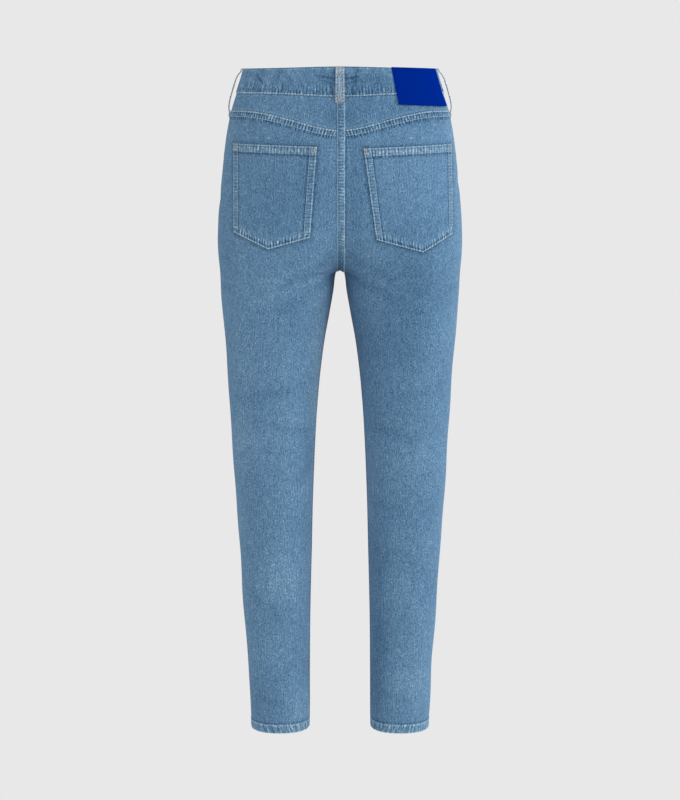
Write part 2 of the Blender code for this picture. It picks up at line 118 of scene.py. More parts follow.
# Backs: the two back leg panels, washed denim. Their tops are folded over the yokes and
# stitched twice, their hems are turned twice and stitched once, and their inner leg edges are
# felled over the fronts. Every panel is laid on one garment form, as it is in the solids.
DENIM = 0.0010
SEAM_GAP = 0.0003
CROTCH = -0.279
HEM = -0.979
HEM_LAYERS = 0.0026
FORM_COLUMNS = ("height", "out", "inner", "front", "back", "side", "power")
FORM_ROWS = (
    (0.040, 0.1370, -0.1370, -0.0925, 0.0905, -0.001, 2.40),
    (0.021, 0.1420, -0.1420, -0.0945, 0.0930, -0.001, 2.45),
    (0.000, 0.1480, -0.1480, -0.0975, 0.0960, -0.001, 2.50),
    (-0.018, 0.1537, -0.1537, -0.1005, 0.0990, 0.000, 2.50),
    (-0.045, 0.1620, -0.1620, -0.1045, 0.1035, 0.001, 2.50),
    (-0.087, 0.1700, -0.1620, -0.1090, 0.1110, 0.002, 2.50),
    (-0.147, 0.1765, -0.1400, -0.1120, 0.1200, 0.003, 2.50),
    (-0.206, 0.1817, -0.0800, -0.1110, 0.1240, 0.003, 2.50),
    (-0.236, 0.1827, -0.0430, -0.1090, 0.1225, 0.003, 2.50),
    (-0.259, 0.1818, -0.0185, -0.1065, 0.1190, 0.002, 2.48),
    (-0.272, 0.1806, -0.0055, -0.1045, 0.1160, 0.002, 2.46),
    (-0.279, 0.1799, 0.0000, -0.1035, 0.1142, 0.002, 2.45),
    (-0.2815, 0.1797, 0.0052, -0.1030, 0.1136, 0.002, 2.45),
    (-0.286, 0.1794, 0.0074, -0.1022, 0.1124, 0.002, 2.44),
    (-0.310, 0.1783, 0.0105, -0.0985, 0.1070, 0.002, 2.42),
    (-0.346, 0.1757, 0.0168, -0.0940, 0.1000, 0.002, 2.40),
    (-0.391, 0.1727, 0.0248, -0.0890, 0.0925, 0.001, 2.37),
    (-0.455, 0.1680, 0.0324, -0.0825, 0.0850, 0.001, 2.34),
    (-0.516, 0.1643, 0.0370, -0.0760, 0.0800, 0.002, 2.32),
    (-0.577, 0.1610, 0.0398, -0.0700, 0.0765, 0.004, 2.30),
    (-0.638, 0.1566, 0.0420, -0.0640, 0.0742, 0.006, 2.30),
    (-0.700, 0.1526, 0.0434, -0.0580, 0.0725, 0.009, 2.30),
    (-0.762, 0.1486, 0.0450, -0.0520, 0.0712, 0.011, 2.30),
    (-0.824, 0.1443, 0.0462, -0.0465, 0.0697, 0.012, 2.30),
    (-0.886, 0.1398, 0.0466, -0.0420, 0.0680, 0.013, 2.30),
    (-0.949, 0.1370, 0.0468, -0.0388, 0.0664, 0.014, 2.30),
    (-0.979, 0.1355, 0.0474, -0.0375, 0.0655, 0.014, 2.30),
)
FORM = dict(zip(FORM_COLUMNS, np.array(FORM_ROWS).T[:, ::-1]))
EVEN_TOP = -0.10
EVEN_FOOT = -0.40
# The sewn edges' heights at the centre front, the side and the centre back, and how far round
# from the side each stays level.
EDGES = {
    "waist": (0.0030, 0.0183, 0.0210, 0.20),
    "band_seam": (-0.0370, -0.0180, -0.0225, 0.30),
    "yoke_seam": (-0.0435, -0.0435, -0.0706, 0.25),
}
# The grid's rows, each by its height at the side and at the centre, where rows sweep to the crotch.
GRID_ROWS = (
    (-0.0435, -0.0680),
    (-0.0700, -0.1000),
    (-0.0970, -0.1320),
    (-0.1240, -0.1620),
    (-0.1510, -0.1900),
    (-0.1780, -0.2150),
    (-0.2030, -0.2370),
    (-0.2260, -0.2545),
    (-0.2470, -0.2670),
    (-0.2660, -0.2755),
    (-0.2840, -0.2790),
    (-0.3010, -0.2815),
    (-0.3190, -0.2870),
    (-0.3400, -0.3020),
    (-0.3680, -0.3330),
    (-0.4050, -0.3800),
    (-0.4500, -0.4370),
    (-0.5000, -0.4950),
    (-0.5550, -0.5550),
    (-0.9150, -0.9150),
)


def read(column, height):
    """A column of the form at any height, on a monotone cubic through the rows."""
    rows, values = FORM["height"], FORM[column]
    step = np.diff(rows)
    slope = np.diff(values) / step
    tangent = np.zeros_like(values)
    same = slope[:-1] * slope[1:] > 0
    near = 2 * step[1:] + step[:-1]
    far = step[1:] + 2 * step[:-1]
    with np.errstate(divide="ignore", invalid="ignore"):
        mean = (near + far) / (near / slope[:-1] + far / slope[1:])
    tangent[1:-1] = np.where(same, mean, 0.0)
    tangent[0], tangent[-1] = slope[0], slope[-1]
    height = np.clip(np.asarray(height, float), rows[0], rows[-1])
    i = np.clip(np.searchsorted(rows, height) - 1, 0, len(step) - 1)
    t = (height - rows[i]) / step[i]
    return (
        values[i] * (1 + 2 * t) * (1 - t) ** 2
        + tangent[i] * step[i] * t * (1 - t) ** 2
        + values[i + 1] * t * t * (3 - 2 * t)
        + tangent[i + 1] * step[i] * t * t * (t - 1)
    )


def oval(height, facing):
    """One leg's oval at a height: its middle, half width, depth and power."""
    out, inner = read("out", height), read("inner", height)
    side = read("side", height)
    depth = np.where(facing < 0, side - read("front", height), read("back", height) - side)
    return (out + inner) / 2, (out - inner) / 2, depth, read("power", height)


def angle_terms(height, facing):
    """The angle round the oval is first * turn + third * turn**3, and at 1 it meets the centre."""
    middle, half, depth, power = oval(height, facing)
    cut_off = depth * (1 - np.clip(middle / half, 0, 1) ** power) ** (1 / power)
    share = np.clip((EVEN_TOP - height) / (EVEN_TOP - EVEN_FOOT), 0, 1)
    even = math.pi / 2 * (1 + share * share * (3 - 2 * share))
    return even, np.arctan2(cut_off, -middle) - even


def surface(height, turn):
    """The form on the wearer's left. Turn -1 is the centre front, 0 the side, +1 the centre back."""
    height, turn = np.broadcast_arrays(np.asarray(height, float), np.asarray(turn, float))
    middle, half, depth, power = oval(height, turn)
    first, third = angle_terms(height, turn)
    angle = first * turn + third * turn**3
    across, facing = np.cos(angle), np.sin(angle)
    radius = (np.abs(across / half) ** power + np.abs(facing / depth) ** power) ** (-1 / power)
    return np.stack([middle + radius * across, read("side", height) + radius * facing, height], -1)


def outward(height, turn):
    """The cloth's outward direction. Just at the crotch it is read a little above it."""
    height = np.asarray(height, float)
    nudge = 0.0002
    height = np.where(np.abs(height - CROTCH) < 0.001, CROTCH + 0.001, height)
    along = surface(height, turn + nudge) - surface(height, turn - nudge)
    up = surface(height + nudge, turn) - surface(height - nudge, turn)
    normal = np.cross(along, up)
    return normal / np.linalg.norm(normal, axis=-1, keepdims=True)


def edge(name, turn):
    """The height of a sewn edge at a turn round the body."""
    front, side, back, start = EDGES[name]
    turn = np.asarray(turn, float)
    share = np.clip((1 - np.abs(np.abs(turn) - 1) - start) / (1 - start), 0, 1)
    share = share * share * (3 - 2 * share)
    return side + (np.where(turn > 0, back, front) - side) * share


def turn_at(x, height):
    """The turn on the back of the form that stands at a distance x from the centre plane."""
    middle, half, depth, power = oval(height, 1)
    share = np.clip(np.abs((x - middle) / half), 0, 1)
    angle = np.arctan2(depth * (1 - share**power) ** (1 / power), x - middle)
    first, third = angle_terms(height, 1)
    turn = angle / (first + third)
    for _ in range(8):
        turn -= (first * turn + third * turn**3 - angle) / (first + 3 * third * turn**2)
    return turn


# The main creases on the wearer's left (1) and right (-1), each a soft trough between two
# places on the form, a turn and a height, with its half width and its depth.
CREASES = {
    1: (
        (0.86, -0.262, 0.58, -0.300, 0.008, 0.0016),
        (0.92, -0.276, 0.50, -0.338, 0.011, 0.0014),
        (0.30, -0.470, 0.64, -0.452, 0.012, 0.0012),
        (0.38, -0.505, 0.78, -0.520, 0.014, 0.0014),
        (0.20, -0.556, 0.55, -0.540, 0.010, 0.0010),
        (0.62, -0.600, 0.86, -0.570, 0.012, 0.0012),
        (0.26, -0.760, 0.52, -0.800, 0.016, 0.0009),
        (0.70, -0.868, 0.40, -0.905, 0.010, 0.0010),
        (0.25, -0.925, 0.60, -0.940, 0.008, 0.0009),
        (-0.82, -0.250, -0.55, -0.232, 0.010, 0.0016),
        (-0.85, -0.268, -0.45, -0.262, 0.011, 0.0018),
        (-0.88, -0.285, -0.52, -0.302, 0.010, 0.0013),
        (-0.30, -0.545, -0.62, -0.560, 0.012, 0.0012),
        (-0.70, -0.590, -0.42, -0.618, 0.011, 0.0011),
        (-0.30, -0.900, -0.66, -0.918, 0.009, 0.0010),
        (-0.10, -0.150, 0.12, -0.185, 0.014, 0.0010),
    ),
    -1: (
        (0.88, -0.258, 0.62, -0.286, 0.009, 0.0014),
        (0.90, -0.270, 0.56, -0.322, 0.010, 0.0016),
        (0.28, -0.452, 0.58, -0.470, 0.013, 0.0012),
        (0.44, -0.530, 0.80, -0.505, 0.012, 0.0013),
        (0.25, -0.575, 0.50, -0.590, 0.011, 0.0011),
        (0.55, -0.640, 0.82, -0.622, 0.012, 0.0010),
        (0.34, -0.735, 0.60, -0.700, 0.016, 0.0009),
        (0.30, -0.862, 0.62, -0.880, 0.012, 0.0010),
        (0.42, -0.930, 0.80, -0.915, 0.008, 0.0010),
        (-0.84, -0.246, -0.50, -0.226, 0.011, 0.0015),
        (-0.88, -0.262, -0.48, -0.270, 0.010, 0.0018),
        (-0.86, -0.282, -0.56, -0.312, 0.011, 0.0012),
        (-0.34, -0.560, -0.66, -0.540, 0.012, 0.0012),
        (-0.68, -0.610, -0.40, -0.588, 0.010, 0.0011),
        (-0.36, -0.915, -0.70, -0.902, 0.009, 0.0010),
        (-0.14, -0.170, 0.10, -0.140, 0.013, 0.0010),
    ),
}
# How wide a panel is at some heights, side seam to centre.
PANEL_SPAN_HEIGHTS = (-0.979, -0.800, -0.577, -0.450, -0.350, -0.300, -0.270, -0.200, -0.100, 0.0)
PANEL_SPANS = (0.155, 0.177, 0.216, 0.247, 0.286, 0.309, 0.290, 0.254, 0.235, 0.202)


def relief(height, turn, side):
    """How far the cloth stands off the form: its creases, and a slow unevenness in the legs."""
    span = np.interp(height, PANEL_SPAN_HEIGHTS, PANEL_SPANS)
    across = turn * span
    off = np.zeros(np.shape(height))
    for turn_a, height_a, turn_b, height_b, width, depth in CREASES[side]:
        size = np.interp((height_a + height_b) / 2, PANEL_SPAN_HEIGHTS, PANEL_SPANS)
        run = np.array([(turn_b - turn_a) * size, height_b - height_a])
        from_a = across - turn_a * size, height - height_a
        share = (from_a[0] * run[0] + from_a[1] * run[1]) / (run @ run)
        kept = np.clip(share, 0, 1)
        gap = (from_a[0] - kept * run[0]) ** 2 + (from_a[1] - kept * run[1]) ** 2
        far = gap / width**2
        taper = 0.35 + 0.65 * np.sqrt(4 * kept * (1 - kept))
        off -= depth * taper * (1 - 1.1 * far) * np.exp(-far)
    slow = np.sin(height * 31 + 3 * turn + side) * np.sin(turn * 5.2 + height * 9 + 2 * side)
    slow += 0.6 * np.sin(height * 57 - 4 * turn + 2 * side)
    below_hip = np.clip((-0.22 - height) / 0.10, 0, 1)
    window = np.clip((1 - np.abs(turn)) / 0.14, 0, 1)
    window = window * window * (3 - 2 * window)
    above_hem = np.clip((height - HEM) / 0.020, 0, 1)
    return (off + 0.0006 * slow * below_hip) * window * above_hem


def smooth(low, high, value):
    """From 0 at low to 1 at high, easing in and out."""
    share = np.clip((value - low) / (high - low), 0, 1)
    return share * share * (3 - 2 * share)


def uneven(along, pitch, seed):
    """An uneven wave between -1 and 1, as gathered cloth has beside a seam."""
    phase = 2.1 * np.sin(along / (pitch * 0.91) + seed) + 1.3 * np.sin(along / (pitch * 2.3) + 2 * seed)
    size = 0.65 + 0.35 * np.sin(along / (pitch * 0.67) + 3 * seed)
    return np.sin(2 * math.pi * along / pitch + phase) * size


NEAR = np.array(
    [0, 0.2, 0.5, 1.0, 1.5, 2.2, 3.0, 4.5, 6.0, 7.5, 8.5, 9.5, 11.0, 12.5, 13.5, 15.0, 18.0, 22.0, 26.0]
)
NEAR_ROWS = NEAR / 1000
NEAR_COLUMNS = NEAR_ROWS[:14]
SAMPLES = 241


def stacked(top, keys, foot, pitch, near=NEAR_ROWS):
    """Rows from a top edge to a foot, close together near both and through the keys between."""
    rows = [top - d for d in near]
    guide = [rows[-1], *keys, foot + near[-1]]
    for upper, lower in zip(guide, guide[1:]):
        count = max(1, round(float(np.max(upper - lower)) / pitch))
        rows += [upper + (lower - upper) * s for s in np.linspace(0, 1, count + 1)[1:]]
    rows += [foot + d for d in near[-2::-1]]
    return np.array(rows)


def run_along(points):
    """The distance of each point from the first in its row."""
    step = np.linalg.norm(np.diff(points, axis=-2), axis=-1)
    return np.concatenate([0 * step[..., :1], np.cumsum(step, axis=-1)], axis=-1)


def spread(heights, turns, count):
    """A grid whose outer columns keep their distances from both ends of each row.

    Gives the grid's heights and turns, the distance along each row and each row's length.
    """
    arc = run_along(surface(heights, turns))
    length = arc[:, -1:]
    last = np.minimum(NEAR_COLUMNS[-1], length * 0.35)
    start = NEAR_COLUMNS / NEAR_COLUMNS[-1] * last
    middle = last + (length - 2 * last) * np.linspace(0, 1, count + 2)[1:-1]
    wanted = np.concatenate([start, middle, length - start[:, ::-1]], axis=1)
    grid_turns = np.stack([np.interp(w, a, t) for w, a, t in zip(wanted, arc, turns)])
    grid_heights = np.stack([np.interp(w, a, h) for w, a, h in zip(wanted, arc, heights)])
    return grid_heights, grid_turns, wanted, length


def rounded(inner, outer, *distances):
    """Draws both skins of a wall together towards its edges, so that they are folds."""
    nearest = np.minimum.reduce(np.broadcast_arrays(*distances))
    share = np.clip(nearest / 0.0008, 0, 1)
    share = 0.3 + 0.7 * np.sqrt(1 - (1 - share) ** 2)
    middle = (inner + outer) / 2
    return middle + (inner - middle) * share, middle + (outer - middle) * share


# Patches where the cloth is drawn paler or darker, partly the wash's fading and partly painted
# light and shade on the seat and the legs: the middle of each patch across and up the
# garment, its half width and height, which side it is on (1 the back) and its tone.
FADING_AND_PAINTED_LIGHT = (
    (-0.112, -0.290, 0.042, 0.080, 1, -0.12),
    (-0.090, -0.430, 0.026, 0.110, 1, -0.06),
    (0.100, -0.340, 0.055, 0.070, 1, 0.07),
    (0.066, -0.480, 0.024, 0.110, 1, 0.06),
    (0.030, -0.440, 0.016, 0.180, 1, 0.18),
    (0.078, -0.700, 0.036, 0.150, 1, 0.06),
    (0.056, -0.920, 0.020, 0.080, 1, 0.05),
    (-0.110, -0.930, 0.026, 0.060, 1, 0.05),
    (-0.056, -0.880, 0.016, 0.160, 1, -0.12),
    (-0.105, -0.045, 0.060, 0.022, 1, -0.11),
    (-0.030, -0.005, 0.055, 0.022, 1, -0.17),
    (0.000, -0.050, 0.030, 0.018, 1, -0.10),
    (0.045, -0.140, 0.026, 0.060, 1, -0.08),
    (0.150, -0.200, 0.018, 0.120, 1, 0.05),
    (0.085, -0.420, 0.050, 0.100, 1, -0.04),
    (0.146, -0.550, 0.018, 0.200, 1, 0.08),
    (0.164, -0.240, 0.016, 0.060, 1, -0.04),
    (-0.043, -0.600, 0.012, 0.140, 1, 0.09),
    (-0.022, -0.150, 0.016, 0.120, 1, -0.09),
    (0.097, -0.170, 0.035, 0.050, 1, -0.05),
    (0.035, -0.260, 0.030, 0.030, 1, -0.04),
    (0.088, -0.300, 0.050, 0.130, -1, 0.14),
    (-0.088, -0.300, 0.050, 0.130, -1, 0.14),
    (0.082, -0.580, 0.036, 0.060, -1, 0.08),
    (-0.082, -0.580, 0.036, 0.060, -1, 0.08),
)


def fading_and_painted_light(points):
    """The tone each point of the cloth gets from the patches: fading, with painted light and shade."""
    tone = np.zeros(points.shape[:-1])
    for x, z, wide, tall, facing, paler in FADING_AND_PAINTED_LIGHT:
        far = ((points[..., 0] - x) / wide) ** 2 + ((points[..., 2] - z) / tall) ** 2
        tone += paler * np.exp(-far) * smooth(-0.02, 0.03, points[..., 1] * facing)
    return tone


def shell(name, points, normals, inner, outer, side, cloth, seam, wear, rope, materials):
    """A closed wall of cloth on a grid of points, rows downwards, turning to the left.

    cloth and seam are its two UV maps in metres, wear and rope its attributes:
    worn paleness with painted shade and highlight, and puckering; the fading patches with their
    painted light and shade are added to the first. The first material is the face, the second
    the inside. side -1 mirrors it to the wearer's right.
    """
    mirror = np.array([side, 1, 1])
    rows, columns = points.shape[:2]
    over = (points + normals * outer[..., None]) * mirror
    under = (points + normals * inner[..., None]) * mirror
    top, low = np.arange(2 * rows * columns).reshape(2, rows, columns)
    # adds the patches of fading and of painted light and shade
    wear = wear + fading_and_painted_light(over)

    def strip(a, b, c, d):
        return np.stack([a, b, c, d], -1).reshape(-1, 4)

    faces = np.concatenate(
        [
            strip(top[:-1, :-1], top[1:, :-1], top[1:, 1:], top[:-1, 1:]),
            strip(low[:-1, :-1], low[:-1, 1:], low[1:, 1:], low[1:, :-1]),
            strip(low[0, :-1], top[0, :-1], top[0, 1:], low[0, 1:]),
            strip(top[-1, :-1], low[-1, :-1], low[-1, 1:], top[-1, 1:]),
            strip(top[:-1, 0], low[:-1, 0], low[1:, 0], top[1:, 0]),
            strip(low[:-1, -1], top[:-1, -1], top[1:, -1], low[1:, -1]),
        ]
    )
    if side < 0:
        faces = faces[:, ::-1]
    mesh = bpy.data.meshes.new(name)
    mesh.from_pydata(np.concatenate([over.reshape(-1, 3), under.reshape(-1, 3)]), [], faces.tolist())
    cells = (rows - 1) * (columns - 1)
    which = np.zeros(len(faces), int)
    which[cells : 2 * cells] = 1
    for material in materials:
        mesh.materials.append(material)
    mesh.polygons.foreach_set("material_index", which)
    corner = faces.reshape(-1)
    for label, uv in (("cloth", cloth), ("seam", seam)):
        flat = np.tile(np.broadcast_to(uv, (rows, columns, 2)).reshape(-1, 2), (2, 1))
        mesh.uv_layers.new(name=label).data.foreach_set("uv", flat[corner].reshape(-1))
    for label, mark in (("wear", wear), ("rope", rope)):
        flat = np.tile(np.broadcast_to(mark, (rows, columns)).reshape(-1), 2)
        mesh.attributes.new(label, "FLOAT", "POINT").data.foreach_set("value", flat)
    mesh.shade_smooth()
    mesh.set_sharp_from_angle(angle=math.radians(75))
    piece = bpy.data.objects.new(name, mesh)
    bpy.context.scene.collection.objects.link(piece)
    return piece, over, normals * mirror


def fitted(name, heights, turns, arc, length, side, inner, outer, marks, materials):
    """A panel on the form: takes its points and creases from it, paints shade into the creases and measures
    its cloth.
    """
    points, normals = surface(heights, turns), outward(heights, turns)
    lie = relief(heights, turns, side)
    seam, wear, rope = marks
    # The creases are painted darker in their troughs, as shade, and a little paler where the cloth stands
    # out, as highlight.
    wear = wear + np.clip(lie * 45, -0.08, 0.06)
    across = arc - np.interp(heights, PANEL_SPAN_HEIGHTS, PANEL_SPANS) / 2
    along_row = np.gradient(points, axis=1)
    along_row /= np.linalg.norm(along_row, axis=-1, keepdims=True)
    along_row = (along_row[1:] + along_row[:-1]) / 2
    drop = np.diff(points, axis=0)
    drop = drop - (drop * along_row).sum(-1, keepdims=True) * along_row
    fallen = np.cumsum(np.linalg.norm(drop, axis=-1), axis=0)
    fallen = np.concatenate([0 * fallen[:1], fallen])
    cloth = np.stack([across, heights[:1] - fallen], -1)
    return shell(
        name, points, normals, lie + inner, lie + outer, side, cloth, seam, wear, rope, materials
    )


def beside_edges(edges, seed):
    """What the sewn edges do to a panel's cloth.

    Each edge has its distance, the place along it, how wide its folded band is, how thick it
    stands, how much it puckers, how pale its fold is worn, where a negative value paints shade
    along an edge that lies under another piece, how much paler or darker its band is drawn, and
    how far in its stitches run. Each edge also gets a painted shadow just beyond a pale fold's
    band and beside each stitch row. Gives the thickness added, the map of the nearest seam, the
    worn paleness with its painted shade, and the puckering.
    """
    shape = np.broadcast_shapes(*[np.shape(e[0]) for e in edges])
    raised, wear, rope = np.zeros(shape), np.zeros(shape), np.zeros(shape)
    nearest = np.full(shape, 1.0)
    seam = np.zeros((*shape, 2))
    sunk = np.zeros(shape)
    for number, (away, along, width, thick, pucker, pale, tone, rows) in enumerate(edges):
        band = 1 - smooth(width, width + 0.0025, away)
        raised = np.maximum(raised, thick * band)
        # The fold's edge is worn pale; where pale is negative it is painted shade, under another piece's
        # edge. Just beyond the band a painted shadow follows a pale fold, and a paler strip a dark one.
        wear = wear + pale * np.exp(-((away / 0.0017) ** 2)) + tone * band
        wear = wear - 0.5 * pale * np.exp(-(((away - width - 0.0020) / 0.0015) ** 2))
        rope = np.maximum(rope, pucker * (1 - smooth(width, width + 0.004, away)))
        for row in rows:
            on_row = np.exp(-(((away - row) / 0.0006) ** 2)) * (width > 0)
            sunk = np.maximum(sunk, on_row)
            # a painted shadow beside each stitch row
            painted_row_shadow = np.exp(-(((away - row - 0.0012) / 0.0011) ** 2))
            wear = wear - 0.21 * painted_row_shadow * (width > 0)
        closer = away < nearest
        nearest = np.where(closer, away, nearest)
        place = np.stack(np.broadcast_arrays(along + number * 1.37 + seed, away), -1)
        seam = np.where(closer[..., None], place, seam)
    return raised - 0.0004 * sunk, (seam, wear, rope)


def new_finish(name):
    """A new material, its node tree and its shader."""
    material = bpy.data.materials.new(name)
    material.use_nodes = True
    return material, material.node_tree, material.node_tree.nodes["Principled BSDF"]


# The denim's grain: the size across and along the warp of each layer, its detail, its roughness
# and where its pattern starts. The last lies along the seams, as puckers.
DENIM_GRAIN = (
    ("slubs", 0.0014, 0.0110, 1.0, 0.5, 3.0),
    ("long slubs", 0.0020, 0.0480, 1.0, 0.5, 11.0),
    ("pepper", 0.0014, 0.0027, 1.5, 0.5, 7.0),
    ("mottle", 0.0036, 0.0056, 1.0, 0.5, 13.0),
    ("blotches", 0.0110, 0.0150, 2.0, 0.6, 5.0),
    ("fading", 0.0700, 0.1400, 2.0, 0.5, 1.0),
    ("puckers", 0.0028, 0.0080, 1.0, 0.5, 2.0),
)
DENIM_WEIGHTS = (
    ("slubs", 0.34),
    ("long slubs", 0.18),
    ("pepper", 0.84),
    ("mottle", 0.26),
    ("blotches", 0.18),
    ("fading", 0.12),
    ("twill", 0.26),
)
TWILL_PITCH = 0.0009
GATHER_PITCH = 0.0046
DENIM_STOPS = (0.0, 0.30, 0.50, 0.72, 0.82, 0.95)


def denim(name, shades, inside=False):
    """Washed cotton denim: an indigo warp faded unevenly over a white weft.

    Its twill lines are 0.6 mm apart and drawn at 0.9 mm, so that they show close to, and its
    salt and pepper of bare warp is 0.7 mm across and drawn at 1.4 by 2.7 mm, so that it shows
    from afar. Slubs are faint streaks along the warp, and mottle is the wash's unevenness.
    Colour also follows slow fading, the worn paleness at seams and folds with the painted
    shade and highlight carried beside them and in the creases, and the gathers beside seams,
    4.6 mm apart. It is matt, with a little fuzz. shades run from the darkest to the most worn.
    """
    material, tree, shader = new_finish(name)
    cloth = add(tree, "ShaderNodeUVMap", uv_map="cloth").outputs[0]
    seam = add(tree, "ShaderNodeUVMap", uv_map="seam").outputs[0]
    wear_and_shade_mark = add(tree, "ShaderNodeAttribute", attribute_name="wear").outputs["Fac"]
    rope_mark = add(tree, "ShaderNodeAttribute", attribute_name="rope").outputs["Fac"]

    def layered(start, *layers):
        """start with each layer added to it by its weight."""
        for value, weight in layers:
            terms = {0: value, 1: weight, 2: start}
            start = add(tree, "ShaderNodeMath", terms, operation="MULTIPLY_ADD").outputs[0]
        return start

    grain = {}
    for label, across, along, detail, roughness, offset in DENIM_GRAIN:
        size = (1 / across, 1 / along, 1.0)
        source = seam if label == "puckers" else cloth
        place = {"Vector": source, "Scale": size, "Location": (offset, offset, 0)}
        scaled = add(tree, "ShaderNodeMapping", place).outputs[0]
        look = {"Vector": scaled, "Scale": 1.0, "Detail": detail, "Roughness": roughness}
        grain[label] = add(tree, "ShaderNodeTexNoise", look, noise_dimensions="2D").outputs[0]
    for label, source, scale, distortion, way in (
        ("twill", cloth, 0.444 / TWILL_PITCH, 0.4, "DIAGONAL"),
        ("gathers", seam, 0.314 / GATHER_PITCH, 3.0, "X"),
    ):
        look = {"Vector": source, "Scale": scale, "Distortion": distortion, "Detail": 1.0}
        grain[label] = add(
            tree, "ShaderNodeTexWave", look, wave_type="BANDS", bands_direction=way
        ).outputs["Fac"]
    puckers = layered(0.0, (grain["puckers"], 0.66), (grain["gathers"], 0.34))
    tone = layered(0.5, *[(grain[label], weight) for label, weight in DENIM_WEIGHTS])
    tone = add(tree, "ShaderNodeMath", {0: tone, 1: 1.088}, operation="SUBTRACT").outputs[0]
    # adds the worn paleness, with the painted shade and highlight at folds, seams and creases
    tone = add(tree, "ShaderNodeMath", {0: tone, 1: wear_and_shade_mark}, operation="ADD").outputs[0]
    centred = add(tree, "ShaderNodeMath", {0: puckers, 1: 0.5}, operation="SUBTRACT").outputs[0]
    roped = add(tree, "ShaderNodeMath", {0: centred, 1: rope_mark}, operation="MULTIPLY").outputs[0]
    tone = layered(tone, (roped, 1.60))
    ramp = add(tree, "ShaderNodeValToRGB", {"Fac": tone})
    stops = ramp.color_ramp.elements
    stops[0].position, stops[0].color = DENIM_STOPS[0], colour(shades[0])
    stops[1].position, stops[1].color = DENIM_STOPS[-1], colour(shades[-1])
    for place, shade in zip(DENIM_STOPS[1:-1], shades[1:-1]):
        stops.new(place).color = colour(shade)
    tree.links.new(ramp.outputs["Color"], shader.inputs["Base Color"])
    weave = layered(0.0, (grain["slubs"], 0.30), (grain["pepper"], 0.22), (grain["twill"], 0.35))
    weave = layered(weave, (roped, 2.4))
    bump = add(tree, "ShaderNodeBump", {"Height": weave, "Strength": 0.35, "Distance": 0.0006})
    tree.links.new(bump.outputs[0], shader.inputs["Normal"])
    shader.inputs["Roughness"].default_value = 0.92
    shader.inputs["Specular IOR Level"].default_value = 0.18
    shader.inputs["Sheen Weight"].default_value = 0.0 if inside else 0.05
    shader.inputs["Sheen Roughness"].default_value = 0.5
    shader.inputs["Sheen Tint"].default_value = colour("A9C4DC")
    return material


FACE_SHADES = ("24405C", "456989", "5A7FA0", "7095B3", "7EA2BD", "BACCCF")
INSIDE_SHADES = ("5B7184", "7C8FA0", "93A4B1", "A8B5BF", "B4BFC8", "C8D0D4")
denim_face = denim("washed_denim", FACE_SHADES)
denim_inside = denim("denim_inside", INSIDE_SHADES, inside=True)

# Topstitching: spun polyester thread, 8 stitches to the inch and sunk a little in the cloth.
# The same maker sews bartacks, whose stitches lie side by side across their line.
tree = bpy.data.node_groups.new("stitched_line", "GeometryNodeTree")
for label, kind, value in (
    ("Line", "NodeSocketGeometry", None),
    ("Pitch", "NodeSocketFloat", 0.0031),
    ("Stitch size", "NodeSocketVector", (0.0025, 0.0008, 0.0006)),
    ("Unevenness", "NodeSocketFloat", 0.12),
    ("Seed", "NodeSocketInt", 4),
    ("Thread", "NodeSocketMaterial", None),
):
    socket = tree.interface.new_socket(label, in_out="INPUT", socket_type=kind)
    if value is not None:
        socket.default_value = value
tree.interface.new_socket("Stitches", in_out="OUTPUT", socket_type="NodeSocketGeometry")
given = tree.nodes.new("NodeGroupInput").outputs
as_curve = add(tree, "GeometryNodeMeshToCurve", {"Mesh": given["Line"]})
spaced = add(
    tree,
    "GeometryNodeResampleCurve",
    {"Curve": as_curve.outputs[0], "Length": given["Pitch"]},
    mode="LENGTH",
)
way = add(tree, "GeometryNodeInputTangent")
facing_out = add(tree, "GeometryNodeInputNamedAttribute", {"Name": "out"}, data_type="FLOAT_VECTOR")
lengthways = add(
    tree, "FunctionNodeAlignRotationToVector", {"Vector": way.outputs[0]}, axis="X", pivot_axis="AUTO"
)
upright = add(
    tree,
    "FunctionNodeAlignRotationToVector",
    {"Rotation": lengthways.outputs[0], "Vector": facing_out.outputs[0]},
    axis="Z",
    pivot_axis="X",
)
grain = add(tree, "GeometryNodeMeshUVSphere", {"Segments": 6, "Rings": 4, "Radius": 0.5})
least = add(tree, "ShaderNodeMath", {0: 1.0, 1: given["Unevenness"]}, operation="SUBTRACT")
most = add(tree, "ShaderNodeMath", {0: 1.0, 1: given["Unevenness"]}, operation="ADD")
limits = {2: least.outputs[0], 3: most.outputs[0], "Seed": given["Seed"]}
varied = add(tree, "FunctionNodeRandomValue", limits, data_type="FLOAT")
sized = add(tree, "ShaderNodeVectorMath", {0: given["Stitch size"]}, operation="SCALE")
tree.links.new(varied.outputs[1], sized.inputs["Scale"])
placed = add(
    tree,
    "GeometryNodeInstanceOnPoints",
    {
        "Points": spaced.outputs[0],
        "Instance": grain.outputs[0],
        "Rotation": upright.outputs[0],
        "Scale": sized.outputs[0],
    },
)
real = add(tree, "GeometryNodeRealizeInstances", {"Geometry": placed.outputs[0]})
even = add(tree, "GeometryNodeSetShadeSmooth", {"Geometry": real.outputs[0]})
threaded = add(
    tree, "GeometryNodeSetMaterial", {"Geometry": even.outputs[0], "Material": given["Thread"]}
)
add(tree, "NodeGroupOutput", {"Stitches": threaded.outputs[0]})
stitched_line = tree


